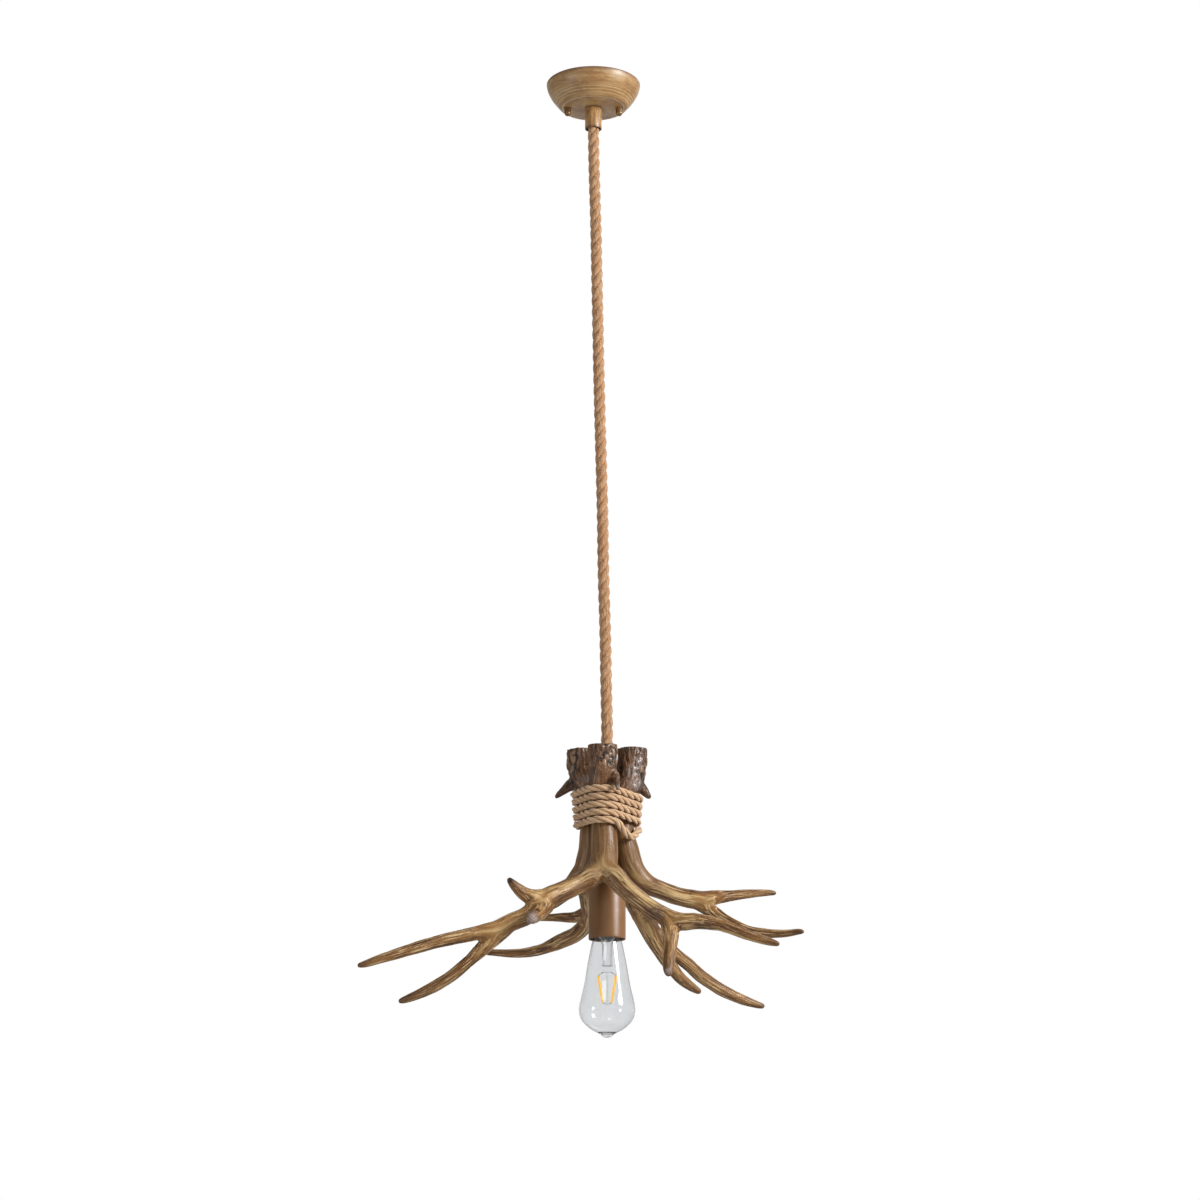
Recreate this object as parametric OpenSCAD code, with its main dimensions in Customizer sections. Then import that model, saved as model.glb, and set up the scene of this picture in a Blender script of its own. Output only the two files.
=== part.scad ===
// Pendant light: antlers bound to a threaded tube, hung on a rope from a ceiling canopy.
// The origin is the centre of the canopy's rim, in the plane of the ceiling. Lengths are in millimetres.

/* [Canopy] */
// Radius of the canopy where it meets the ceiling
canopy_r = 56.5; // [52:0.5:65]
// Radius of the canopy's flat underside
canopy_base_r = 39; // [36:0.5:46]
// Height of the canopy
canopy_h = 31; // [29:1:45]
// Thickness of the canopy's spun wall
canopy_wall = 1.2; // [0.8:0.1:2]
// Number of turned grooves round the lower side
groove_count = 3; // [0:1:4]
// Depth of a turned groove
groove_depth = 0.4; // [0.2:0.1:0.6]

/* [Mounting bar] */
// Distance from an end of the ceiling bar to the canopy's rim
bar_inset = 6.5; // [5.5:0.5:7.5]
// Width of the bar
bar_w = 20; // [16:1:26]
// Thickness of the bar
bar_t = 2; // [1.5:0.1:3]
// Distance from the middle of a ceiling screw slot to the end of the bar
slot_inset = 5.5; // [5.5:0.5:6]
// Length of a slot from end to end
slot_l = 7; // [6:0.5:8]
// Width of a slot
slot_w = 4.5; // [4:0.1:5]
// Distance between the two canopy studs
stud_spacing = 62; // [60:1:64]
// Diameter of a canopy stud
stud_d = 4; // [3:0.5:5]
// Height of a domed cap nut
cap_nut_h = 10; // [9:0.5:12]
// Diameter of a domed cap nut
cap_nut_d = 9; // [8:0.5:10]
// Radius of the hole that the mains cable comes through
entry_r = 5.5; // [4:0.5:6]

/* [Stem and rope] */
// Diameter of the stem below the canopy
stem_d = 20; // [20:0.5:23]
// Length of the stem below the canopy
stem_l = 27; // [24:1:36]
// Diameter of the hanging rope
rope_d = 14; // [13:0.2:14.2]
// Diameter of the flexible cable inside the rope
cable_d = 6; // [5:0.2:6.4]
// Depth of the rope's flexing point inside the stem
flex_depth = 6; // [5:0.5:8]
// Height of the clamp collar that carries the rope
clamp_h = 7; // [6:0.5:8]

/* [Terminal block] */
// Distance between the ways of the terminal block
way_pitch = 10; // [9:0.5:12]
// Size of the terminal block along the bar
block_l = 15; // [14:0.5:16]
// Height of the terminal block
block_h = 10; // [9:0.5:11]
// Diameter of a lead
lead_d = 2; // [1.6:0.1:2.4]

/* [Hub] */
// Outer radius of the ferrule on the rope's lower end
ferrule_r = 9.2; // [9:0.1:9.6]
// Height of the ferrule
ferrule_h = 24; // [24:1:25]
// Outer diameter of the threaded hub tube
hub_d = 10; // [9.4:0.1:10.4]
// Diameter of a screw that holds an antler to the tube
screw_d = 4; // [3:0.5:5]

/* [Rope binding] */
// Diameter of the binding rope
binding_d = 8.1; // [7:0.1:8.2]
// Climb of the binding in one turn
binding_pitch = 8.9; // [8.8:0.1:9.2]
// Angle that the binding winds through before its tail
binding_angle = 1620; // [1260:360:1620]
// How far the tail's loop drops
tail_drop = 14; // [12:0.5:15]

/* [Lampholder] */
// Outer radius of the metal cover
cover_r = 21; // [20.5:0.1:22]
// Height of the metal cover
cover_h = 65; // [64:1:68]
// Wall of the metal cover
cover_wall = 1; // [0.8:0.1:1.2]
// Radius inside the screw shell
shell_r = 13.6; // [13.5:0.1:13.8]

/* [Bulb] */
// Radius of the bulb at its widest
bulb_r = 32; // [30:0.5:34]
// Wall of the glass
glass_wall = 0.8; // [0.6:0.1:1]
// Play of the bulb's screw cap in the shell
cap_play = 0.6; // [0.5:0.05:0.8]
// Length of a filament
filament_l = 30; // [26:1:33]
// How far the bulb's screw cap reaches
cap_h = 24; // [22:1:25]

/* [Hidden] */

// Clearances
seat_gap = 0.3;
fit_gap = 0.05;
slip_gap = 0.2;
cut = 1;

// Colours that several pieces share
steel = [0.75, 0.76, 0.78];
brass = [0.8, 0.66, 0.35];
jute = [0.78, 0.63, 0.45];
sheath = [0.85, 0.85, 0.83];
antler = [0.5, 0.37, 0.22];
screw_grey = [0.6, 0.6, 0.62];
live_brown = [0.45, 0.28, 0.16];
neutral_blue = [0.25, 0.4, 0.7];

// Heights in and under the canopy
bar_l = 2 * (canopy_r - bar_inset);
slot_spacing = bar_l - 2 * slot_inset;
bar_low = -bar_t;
canopy_low = -canopy_h;
canopy_floor = canopy_low + canopy_wall;
washer_t = 1;
locknut_h = 5;
neck_r = rope_d / 2 + 1.8;
neck_top = canopy_floor + washer_t + locknut_h + 1.8;
clamp_top = neck_top + clamp_h;
clamp_r = rope_d / 2 + 3.5;
rope_top = clamp_top + 1;
cable_top = rope_top + 2;
stem_low = canopy_low - stem_l;
stem_bore_r = rope_d / 2 + 1.8;
neck_bore_r = rope_d / 2 + slip_gap;
neck_bore_low = canopy_low - 6;
flex_z = stem_low + flex_depth;
rope_start = flex_z - rope_d / 2 - seat_gap;
cable_bore_r = cable_d / 2 + 0.45;
stud_low = canopy_low - cap_nut_h + 3;
nut_t = 3.2;

// The hanging rope's route, from the flexing point to the ferrule
rope_points = [
    [1, 0, -110], [3, 0, -180], [5, 0, -280], [7, 0, -380], [9, 0, -460], [11, 0, -540],
    [12, 0, -610], [14, 0, -680], [15, 0, -740], [16, 0, -790], [16, 0, -820], [16, 0, -836]
];
rope_end = rope_points[len(rope_points) - 1];
rope_route = concat([[0, 0, rope_start]], rope_points);

// The lamp's own frame: its axis, with zero at the sawn tops of the antlers
rope_in_ferrule = 16;
lamp_x = rope_end[0];
lamp_top = rope_end[2] + rope_in_ferrule;
hub_head_t = 3;
hub_head_r = rope_d / 2 - 0.1;
hub_top = -rope_in_ferrule - seat_gap;
ferrule_seat = hub_top - hub_head_t - seat_gap;
ferrule_low = -ferrule_h;
hub_bore_r = cable_bore_r - 0.15;

// Control points of the antlers in the lamp's frame: x, y, z and radius
front_shaft = [
    [-5, -30, -1, 16.5], [-5, -29, -12, 16.5], [-5, -26.5, -32, 15.8], [-4.7, -23.2, -47, 14.9],
    [-4.5, -22, -56, 14.4], [-4, -21, -84, 13.4], [-3.5, -21, -98, 14.3], [-3, -23, -120, 15.2],
    [-4, -29, -138, 15.4], [-5, -36, -150, 13.5]
];
front_left_beam = [
    [-2, -31, -140, 12.8], [-17, -37, -153, 12.4], [-33, -43, -163, 11.2], [-50, -52, -173, 11.2],
    [-69, -62, -184, 11.9], [-89, -70, -203, 10.2], [-107, -76, -212, 10], [-124, -81, -221, 10.2],
    [-140, -86, -225, 8]
];
front_tine_long = [
    [-124, -82, -220, 9.2], [-155, -90, -228, 7.4], [-186, -98, -236, 7], [-216, -104, -246, 6.2],
    [-246, -108, -256, 5], [-263, -109, -262, 3.8], [-271, -109, -264, 2.6],
    [-273, -109, -264.5, 1.6]
];
front_tine_low = [
    [-108, -78, -214, 8.8], [-123, -81, -227, 9.4], [-140, -80, -243, 7.9], [-155, -78, -257, 6.7],
    [-171, -75, -270, 6.4], [-187, -71, -280, 6.2], [-202, -66, -287, 5.6], [-218, -60, -293, 4.4],
    [-228, -56.5, -296, 3], [-230.5, -56, -296.6, 1.7]
];
front_tine_up = [
    [-66, -60, -180, 9.5], [-80, -67, -183, 9.6], [-92, -72, -179, 7.6], [-102, -78, -171.5, 5.4],
    [-108, -82, -165.5, 3.3], [-109.5, -83, -163.5, 1.8]
];
front_stub = [
    [-67, -62, -190, 9], [-75, -78, -200, 8.6], [-81, -94, -208, 7.4], [-84, -104, -211.5, 5.8],
    [-85.5, -109, -213, 3]
];
front_right_beam = [
    [-8, -31, -140, 12.8], [7, -38, -153, 12.4], [20, -45, -168, 11], [37, -56, -184, 10.2],
    [53, -66, -197.5, 10.2], [70, -74, -208, 10.6], [84, -80, -211.5, 9.8], [99, -84, -211.5, 8.8],
    [127, -90, -217, 6.7], [154, -94, -228, 5.6], [175, -96, -235, 4.6], [187, -97, -238.5, 2.8],
    [189, -97, -239, 1.7]
];
front_tine_down = [
    [68, -73, -208, 10.4], [70, -82, -225, 9.2], [69, -91, -244, 7.3], [67, -98, -262, 6.2],
    [67, -101, -271, 4.5], [67, -102, -274.5, 2.2]
];
front_spike = [
    [8, -34, -37, 5.4], [11, -44, -46, 3.6], [12, -50, -55, 2.2], [12.2, -51, -57, 1.2]
];

right_shaft = [
    [29, 16, 3.4, 16.8], [28.5, 15.5, -12, 17], [26, 14, -34, 16.2], [19.8, 11.4, -47, 14.6],
    [18.8, 11, -56, 14.2], [17.5, 10.5, -84, 13.2], [17.5, 10.5, -98, 14.2], [21.5, 12, -116, 15],
    [30, 16, -137, 13.6], [42, 19, -151, 11.6]
];
right_beam = [
    [33, 17, -142, 12.4], [47, 20, -153.5, 11], [62, 22, -159.5, 10.3], [83, 24, -166.5, 10.4],
    [106, 26, -170, 10.8], [122, 27, -170.5, 9.2]
];
right_tine_high = [
    [104, 26, -169.5, 9.8], [124, 28, -166.5, 8], [139, 30, -164.5, 6.4], [161, 34, -161.5, 5],
    [183, 38, -159.5, 3.5], [192, 40, -159.5, 2.4], [193.5, 40.3, -159.5, 1.5]
];
right_tine_low = [
    [104, 26, -172, 9.4], [123, 24, -185.5, 7.2], [138, 20, -196, 6.4], [159, 12, -207, 5.8],
    [181, 4, -211.5, 5.2], [199, -4, -213, 4.3], [216, -12, -212, 3.1], [220, -14, -212.5, 2.2],
    [221, -14.5, -212.6, 1.5]
];
right_trunk = [
    [20, 15, -108, 12.2], [24, 24, -136, 12.6], [27.5, 44, -159, 11.7], [38, 62, -178, 11],
    [46, 76, -191, 9.6]
];
right_back_long = [
    [37, 62, -179, 10.6], [57, 90, -200, 8.8], [76, 112, -216.5, 7.8], [96, 132, -229.5, 7.5],
    [112, 146, -241.5, 7.5], [135, 160, -254.5, 7], [158, 172, -263.5, 5.9], [176, 179, -269, 4.2],
    [184, 182.5, -270.5, 2.8], [185.5, 183, -270.8, 1.7]
];
right_back_low = [
    [36, 57, -176, 10.6], [45.5, 74, -193, 9.6], [57.5, 90, -212, 8.8], [71.5, 104, -231, 7.8],
    [82.5, 114, -244, 7], [94, 122, -253, 5.8], [106.5, 129, -260, 3.6], [109, 130, -261, 2]
];
right_spike = [
    [35, 16, -37, 7.5], [42, 16, -45, 5.2], [48, 16, -52, 3], [49.4, 16, -53.6, 1.6]
];

left_shaft = [
    [-29, 16, 2, 16.8], [-28.5, 15.5, -12, 17], [-25.6, 13.9, -32, 16.2], [-19.4, 11.5, -44.5, 14.6],
    [-18.3, 11, -56, 14.2], [-17, 10.5, -84, 13.4], [-17, 10.5, -98, 14.2], [-18, 13, -116, 14.8],
    [-23, 19, -136, 14.2], [-25, 28, -152, 13]
];
left_trunk = [
    [-23, 20, -138, 12.8], [-22, 40, -157, 11.4], [-20, 66, -174, 9.8], [-24, 90, -186, 9.2],
    [-35, 106, -196, 9], [-53, 118, -203, 8.6], [-73, 126, -210.5, 6.7], [-92, 130, -214.5, 5.4],
    [-111, 132, -215.5, 4.8], [-132, 132, -214.5, 3.6], [-140, 132, -215, 2.5],
    [-141.5, 132, -215, 1.6]
];
left_tine_back = [
    [-22, 72, -176, 8], [-37, 84, -180.5, 6.2], [-54, 92, -179.5, 5], [-75, 100, -178.8, 3.5],
    [-86, 104, -179.5, 2]
];
left_branch = [
    [-20, 17, -128, 12.6], [-39, 27, -152, 10.6], [-58, 40, -166, 8.8], [-77, 54, -175, 7.5],
    [-100, 70, -185, 6.2], [-124, 84, -197, 4.8], [-138, 91, -203.5, 3], [-140, 92, -204.4, 1.8]
];
left_spike = [
    [-33, 16, -33, 9], [-44, 16, -40, 6], [-54, 16, -48.5, 3.4], [-58, 16, -52, 2.2],
    [-59, 16, -53, 1.4]
];

// Winding of the binding, in the lamp's frame
binding_top = -51;
binding_start = 104;
tail_angle = 92;
ring_step = 15;
binding_slack = 0.5;

// Antler screws in the lamp's frame
screw_z = [-64, -72, -80];
screw_turn = [-100, 30, 148.5];
screw_head_out = 32;
screw_head_r = screw_d / 2 + 1.8;
screw_head_t = 2.2;
screw_tip = hub_bore_r + 0.4;
screw_hole_l = 50;
head_hole_l = 20;
burr_turn = [-100, 30, 150];

// Lampholder and bulb in the lamp's frame
cover_top = -154;
cover_low = cover_top - cover_h;
cover_cap_t = 1.2;
insulator_top = cover_top - cover_cap_t;
insulator_low = cover_low + 6;
insulator_r = cover_r - cover_wall - seat_gap;
hub_low = insulator_top - 9;
core_low = hub_low - 2;
shell_t = 0.4;
shell_h = 27;
shell_top = insulator_low + shell_h;
chamber_low = shell_top + 6;
chamber_r = 9.5;
cap_r = shell_r - cap_play;
bulb_neck_r = cap_r - 0.4;
cap_hole_r = 6.6;
cap_low = insulator_low - seat_gap;
cap_sheet = 0.4;
cap_fold = 0.5;
cap_slope_h = 3;
contact_stem_r = 1.5;
cap_top = cap_low + cap_h;
contact_top = shell_top - 1.1;
contact_low = contact_top - 0.6;
tip_top = contact_low - seat_gap;
terminal_x = 6;
terminal_r = 1.5;
terminal_head_t = 1.8;

// Outline of the bulb, as radius and depth under the cap's lower edge
bulb_outline = [
    [bulb_neck_r, 0], [15, 3], [16.8, 8], [18.2, 20], [21, 38], [25.6, 58], [bulb_r - 1.8, 73],
    [bulb_r, 84], [bulb_r - 2.2, 95], [bulb_r - 10, 104], [bulb_r - 18, 109.2], [8.6, 111.8],
    [6.4, 113.8], [4, 115.6], [0.01, 116.4]
];
nipple_depth = bulb_outline[len(bulb_outline) - 4][1];
mount_low = cap_low - 36;
press_low = mount_low - 7;
rod_low = press_low - 37;
filament_x = 10;
filament_low_x = 5;
filament_top = press_low - 4;
wire_r = 0.35;

// Vectors, smooth curves and swept tubes
function unit(v) = v / norm(v);
function place(p) = [p[0], p[1], p[2]];
function square_to(t, a) = unit(a - (a * t) * t);
function blend(a, b, c, d, u) =
    0.5 * (2 * b + (c - a) * u + (2 * a - 5 * b + 4 * c - d) * u * u + (3 * b - a - 3 * c + d) * u * u * u);
function smooth(p, steps) = concat(
    [for (i = [0:len(p) - 2], j = [0:steps - 1])
        blend(p[max(i - 1, 0)], p[i], p[i + 1], p[min(i + 2, len(p) - 1)], j / steps)],
    [p[len(p) - 1]]
);
function tangents(p) = [for (i = [0:len(p) - 1])
    unit(place(p[min(i + 1, len(p) - 1)]) - place(p[max(i - 1, 0)]))];
function carried(t, a, i = 0) =
    i == len(t) ? [] : let (b = square_to(t[i], a)) concat([b], carried(t, b, i + 1));
function start_side(t) = abs(t[0]) < 0.8 ? [1, 0, 0] : [0, 1, 0];
function rings(p, r, sides) =
    let (t = tangents(p), a = carried(t, start_side(t[0])))
    [for (i = [0:len(p) - 1], k = [0:sides - 1])
        let (turn = 360 * k / sides, b = cross(t[i], a[i]))
        place(p[i]) + r[i] * (cos(turn) * a[i] + sin(turn) * b)];
function wall_faces(count, sides, first, inward) =
    [for (i = [0:count - 2], k = [0:sides - 1])
        let (
            low = first + i * sides + k,
            low_next = first + i * sides + (k + 1) % sides,
            quad = [low, low + sides, low_next + sides, low_next]
        )
        each (inward ? [[quad[0], quad[2], quad[1]], [quad[0], quad[3], quad[2]]]
            : [[quad[0], quad[1], quad[2]], [quad[0], quad[2], quad[3]]])];

// A solid tube through points that hold their own radii
module limb(p, sides, steps) {
    q = smooth(p, steps);
    n = len(q);
    polyhedron(
        points = rings(q, [for (c = q) c[3]], sides),
        faces = concat(
            wall_faces(n, sides, 0, false),
            [[for (k = [0:sides - 1]) k], [for (k = [0:sides - 1]) n * sides - 1 - k]]
        ),
        convexity = 8
    );
}

// A solid tube of one radius
module cord(p, r, sides) {
    n = len(p);
    polyhedron(
        points = rings(p, [for (c = p) r], sides),
        faces = concat(
            wall_faces(n, sides, 0, false),
            [for (k = [1:sides - 2]) [0, k, k + 1]],
            [for (k = [1:sides - 2]) let (e = (n - 1) * sides) [e, e + k + 1, e + k]]
        ),
        convexity = 8
    );
}

// A tube of one radius with a bore that follows it
module hollow_cord(p, r, bore, sides) {
    n = len(p);
    inner = n * sides;
    polyhedron(
        points = concat(rings(p, [for (c = p) r], sides), rings(p, [for (c = p) bore], sides)),
        faces = concat(
            wall_faces(n, sides, 0, false),
            wall_faces(n, sides, inner, true),
            [for (k = [0:sides - 1]) let (m = (k + 1) % sides)
                each [[k, m, inner + m], [k, inner + m, inner + k]]],
            [for (k = [0:sides - 1]) let (m = (k + 1) % sides, e = (n - 1) * sides)
                each [[e + k, inner + e + m, e + m], [e + k, inner + e + k, inner + e + m]]]
        ),
        convexity = 8
    );
}

module in_lamp() {
    translate([lamp_x, 0, lamp_top]) children();
}

module ring(top, low, outer, bore) {
    translate([0, 0, low]) difference() {
        cylinder(h = top - low, r = outer, $fn = 64);
        translate([0, 0, -cut]) cylinder(h = top - low + 2 * cut, r = bore, $fn = 64);
    }
}

module hex_nut(top, low, flats, bore) {
    translate([0, 0, low]) difference() {
        cylinder(h = top - low, r = flats / sqrt(3), $fn = 6);
        translate([0, 0, -cut]) cylinder(h = top - low + 2 * cut, r = bore, $fn = 48);
    }
}

module rod(a, b, r) {
    d = b - a;
    translate(a)
        rotate([0, acos(d[2] / norm(d)), atan2(d[1], d[0])])
            cylinder(h = norm(d), r = r, $fn = 24);
}

module at_studs() {
    for (side = [-1, 1]) translate([side * stud_spacing / 2, 0, 0]) children();
}

// Canopy
function canopy_radius(depth) =
    canopy_r - (canopy_r - canopy_base_r) * pow(depth / canopy_h, 1.8);
function groove_cut(depth) = max([0, for (g = [1:groove_count])
    groove_depth * (1 - min(1, abs(depth - canopy_h * (0.5 + 0.09 * g)) / 0.7))]);

module bar_hole(x, y, r) {
    translate([x, y, bar_low - cut]) cylinder(h = bar_t + 2 * cut, r = r, $fn = 48);
}

module bar_slot(x) {
    straight = slot_l - slot_w;
    for (end = [-1, 1]) bar_hole(x + end * straight / 2, 0, slot_w / 2);
    translate([x - straight / 2, -slot_w / 2, bar_low - cut]) cube([straight, slot_w, bar_t + 2 * cut]);
}

module mounting_bar() {
    color(steel) difference() {
        translate([-bar_l / 2, -bar_w / 2, bar_low]) cube([bar_l, bar_w, bar_t]);
        for (side = [-1, 1]) bar_slot(side * slot_spacing / 2);
        at_studs() bar_hole(0, 0, stud_d / 2 + fit_gap);
        bar_hole(0, 0, entry_r);
        bar_hole(earth_x, 0, earth_r + fit_gap);
        bar_hole(block_mid, block_screw_y, block_screw_r + fit_gap);
    }
}

module canopy_studs() {
    color(steel) at_studs()
        translate([0, 0, stud_low]) cylinder(h = -stud_low, r = stud_d / 2, $fn = 48);
}

module stud_locknuts() {
    color(steel) at_studs()
        hex_nut(bar_low, bar_low - nut_t, stud_d * 1.75, stud_d / 2 + fit_gap);
}

module canopy() {
    steps = 40;
    outside = [for (i = [0:steps]) let (d = canopy_h * i / steps) [canopy_radius(d) - groove_cut(d), -d]];
    inside = [for (i = [steps:-1:0]) let (d = (canopy_h - canopy_wall) * i / steps)
        [canopy_radius(d) - canopy_wall, -d]];
    color([0.74, 0.6, 0.4]) difference() {
        rotate_extrude($fn = 96) polygon(concat(
            outside, [[neck_r + slip_gap, canopy_low], [neck_r + slip_gap, canopy_floor]], inside
        ));
        at_studs() translate([0, 0, canopy_low - cut])
            cylinder(h = canopy_wall + 2 * cut, r = stud_d / 2 + slip_gap, $fn = 48);
    }
}

module cap_nuts() {
    dome = cap_nut_d / 2;
    color([0.62, 0.48, 0.3]) at_studs() difference() {
        translate([0, 0, canopy_low]) rotate_extrude($fn = 48) polygon(concat(
            [[0, 0], [dome, 0], [dome, dome - cap_nut_h]],
            [for (a = [15:15:75]) [dome * cos(a), dome - cap_nut_h - dome * sin(a)]],
            [[0, -cap_nut_h]]
        ));
        translate([0, 0, stud_low - 0.5]) cylinder(h = cap_nut_h, r = stud_d / 2 + fit_gap, $fn = 48);
    }
}

module stem_tube() {
    color([0.72, 0.56, 0.36]) difference() {
        union() {
            translate([0, 0, stem_low]) cylinder(h = stem_l, r = stem_d / 2, $fn = 64);
            translate([0, 0, canopy_low - cut])
                cylinder(h = neck_top - canopy_low + cut, r = neck_r, $fn = 64);
        }
        translate([0, 0, stem_low - cut])
            cylinder(h = neck_bore_low - stem_low + cut, r = stem_bore_r, $fn = 64);
        translate([0, 0, neck_bore_low - cut])
            cylinder(h = neck_top - neck_bore_low + 2 * cut, r = neck_bore_r, $fn = 64);
    }
}

module stem_washer() {
    color(steel)
        ring(canopy_floor + washer_t, canopy_floor, neck_r + 4, neck_r + fit_gap);
}

module stem_locknut() {
    low = canopy_floor + washer_t;
    color(steel) hex_nut(low + locknut_h, low, 2 * neck_r + 7, neck_r + fit_gap);
}

module rope_clamp() {
    color(steel) difference() {
        ring(clamp_top, neck_top, clamp_r, rope_d / 2 + fit_gap);
        translate([0, 0, neck_top + clamp_h / 2]) rotate([0, -90, 0])
            cylinder(h = clamp_r + cut, r = 1.5 + fit_gap, $fn = 32);
    }
}

module clamp_screw() {
    color(screw_grey) translate([-rope_d / 2 - seat_gap, 0, neck_top + clamp_h / 2])
        rotate([0, -90, 0]) cylinder(h = 4, r = 1.5, $fn = 32);
}

module rope_top_stretch() {
    color(jute) ring(rope_top, flex_z + rope_d / 2 + seat_gap, rope_d / 2, cable_bore_r);
}

module cable_top_stretch() {
    low = flex_z + rope_d / 2 + seat_gap;
    color(sheath)
        translate([0, 0, low]) cylinder(h = cable_top - low, r = cable_d / 2, $fn = 48);
}

module rope_neck() {
    color(jute) translate([0, 0, flex_z]) sphere(r = rope_d / 2, $fn = 48);
}

module rope_hanging() {
    color(jute) hollow_cord(smooth(rope_route, 2), rope_d / 2, cable_bore_r, 10);
}

module core_cable() {
    route = concat(smooth(rope_route, 2), [[lamp_x, 0, lamp_top + core_low]]);
    color(sheath) cord(route, cable_d / 2, 8);
}

// Terminals in the canopy
block_low = bar_low - block_h;
block_left = 11;
block_mid = block_left + block_l / 2;
block_side = 1.5 * way_pitch;
block_screw_r = 1.5;
block_screw_y = way_pitch / 2;
terminal_screw_r = 1.3;
barrel_r = 2.4;
barrel_bore_r = lead_d / 2 + 0.4;
barrel_z = bar_low - block_h / 2;
earth_x = -17;
earth_r = 2;
lug_t = 0.8;

module at_ways() {
    for (way = [-1:1]) translate([0, way * way_pitch, 0]) children();
}

module at_terminal_screws() {
    at_ways() for (x = [block_mid - 3.5, block_mid + 3.5]) translate([x, 0, 0]) children();
}

module terminal_block() {
    color([0.9, 0.9, 0.87]) difference() {
        translate([block_left, -block_side, block_low]) cube([block_l, 2 * block_side, block_h]);
        at_ways() translate([block_left - cut, 0, barrel_z]) rotate([0, 90, 0])
            cylinder(h = block_l + 2 * cut, r = barrel_r + fit_gap, $fn = 48);
        at_terminal_screws() translate([0, 0, block_low - cut])
            cylinder(h = block_h / 2 + cut, r = terminal_screw_r + 0.4, $fn = 32);
        translate([block_mid, block_screw_y, block_low - cut])
            cylinder(h = block_h + 2 * cut, r = block_screw_r + fit_gap, $fn = 32);
    }
}

module terminal_barrels() {
    color(brass) difference() {
        at_ways() translate([block_left + 1, 0, barrel_z]) rotate([0, 90, 0]) difference() {
            cylinder(h = block_l - 2, r = barrel_r, $fn = 48);
            translate([0, 0, -cut]) cylinder(h = block_l + 2 * cut, r = barrel_bore_r, $fn = 48);
        }
        at_terminal_screws() translate([0, 0, block_low])
            cylinder(h = block_h / 2, r = terminal_screw_r + fit_gap, $fn = 32);
    }
}

module terminal_screws() {
    tip = barrel_z - lead_d / 2 - 0.1;
    color(steel) at_terminal_screws() translate([0, 0, block_low + 0.5])
        cylinder(h = tip - block_low - 0.5, r = terminal_screw_r, $fn = 32);
}

module block_screw() {
    color(steel) translate([block_mid, block_screw_y, 0]) {
        translate([0, 0, block_low]) cylinder(h = -block_low, r = block_screw_r, $fn = 32);
        translate([0, 0, block_low - 1.5]) cylinder(h = 1.5, r = 2.8, $fn = 32);
    }
}

module earth_lug() {
    barrel_out = 5.5;
    color([0.85, 0.82, 0.7]) translate([earth_x, 0, bar_low - lug_t]) difference() {
        union() {
            cylinder(h = lug_t, r = 3.8, $fn = 48);
            translate([0, -1.6, 0]) cube([6, 3.2, lug_t]);
            translate([barrel_out, 0, -1]) rotate([0, 90, 0]) cylinder(h = 4, r = 1.6, $fn = 32);
        }
        translate([0, 0, -cut]) cylinder(h = lug_t + 2 * cut, r = earth_r + fit_gap, $fn = 48);
        translate([barrel_out + 1, 0, -1]) rotate([0, 90, 0])
            cylinder(h = 5, r = lead_d / 2 + fit_gap, $fn = 32);
    }
}

module earth_screw() {
    color(steel) translate([earth_x, 0, 0]) {
        translate([0, 0, bar_low - lug_t]) cylinder(h = bar_t + lug_t, r = earth_r, $fn = 48);
        translate([0, 0, bar_low - lug_t - 2.4]) cylinder(h = 2.4, r = 3.4, $fn = 48);
    }
}

module lead(side) {
    y = side * way_pitch;
    low = cable_top + slip_gap;
    color(side < 0 ? live_brown : neutral_blue) cord(smooth([
        [0.6, side * 1.3, low], [0.6, side * 1.3, low + 1.3],
        [1.6, side * 2.4, cable_top + 3.5], [5, side * 6, barrel_z - 0.6], [8.5, y, barrel_z],
        [block_left, y, barrel_z], [block_left + 6, y, barrel_z]
    ], 2), lead_d / 2, 8);
}

module live_lead() {
    lead(-1);
}

module neutral_lead() {
    lead(1);
}

module earth_lead() {
    z = bar_low - lug_t - 1;
    low = cable_top + slip_gap;
    color([0.55, 0.7, 0.25]) cord(smooth([
        [-1.6, 0, low], [-1.6, 0, low + 1.3], [-1.9, 0, cable_top + 4], [-3.4, 0, z - 1.4],
        [-6, 0, z], [earth_x + 9.5, 0, z], [earth_x + 7, 0, z]
    ], 2), lead_d / 2, 8);
}

// Hub
module rope_ferrule() {
    bore = rope_d / 2 + slip_gap;
    color([0.55, 0.52, 0.48]) in_lamp() difference() {
        translate([0, 0, ferrule_low]) cylinder(h = ferrule_h, r = ferrule_r, $fn = 64);
        translate([0, 0, ferrule_seat]) cylinder(h = ferrule_h, r = bore, $fn = 64);
        translate([0, 0, ferrule_low - cut])
            cylinder(h = ferrule_h, r = hub_d / 2 + slip_gap, $fn = 64);
    }
}

module hub_tube() {
    color(steel) in_lamp() difference() {
        union() {
            translate([0, 0, hub_low]) cylinder(h = hub_top - hub_low, r = hub_d / 2, $fn = 64);
            translate([0, 0, hub_top - hub_head_t]) cylinder(h = hub_head_t, r = hub_head_r, $fn = 64);
        }
        translate([0, 0, hub_low - cut])
            cylinder(h = hub_top - hub_low + 2 * cut, r = hub_bore_r, $fn = 64);
        for (i = [0:2]) rotate([0, 90, screw_turn[i]]) translate([-screw_z[i], 0, 0])
            cylinder(h = hub_d, r = screw_d / 2 + fit_gap, $fn = 32);
    }
}

// Middle and radius of a shaft at a height
function shaft_at(shaft, z) = [for (k = [0, 1, 3]) lookup(z, [for (c = shaft) [c[2], c[k]]])];

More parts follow.
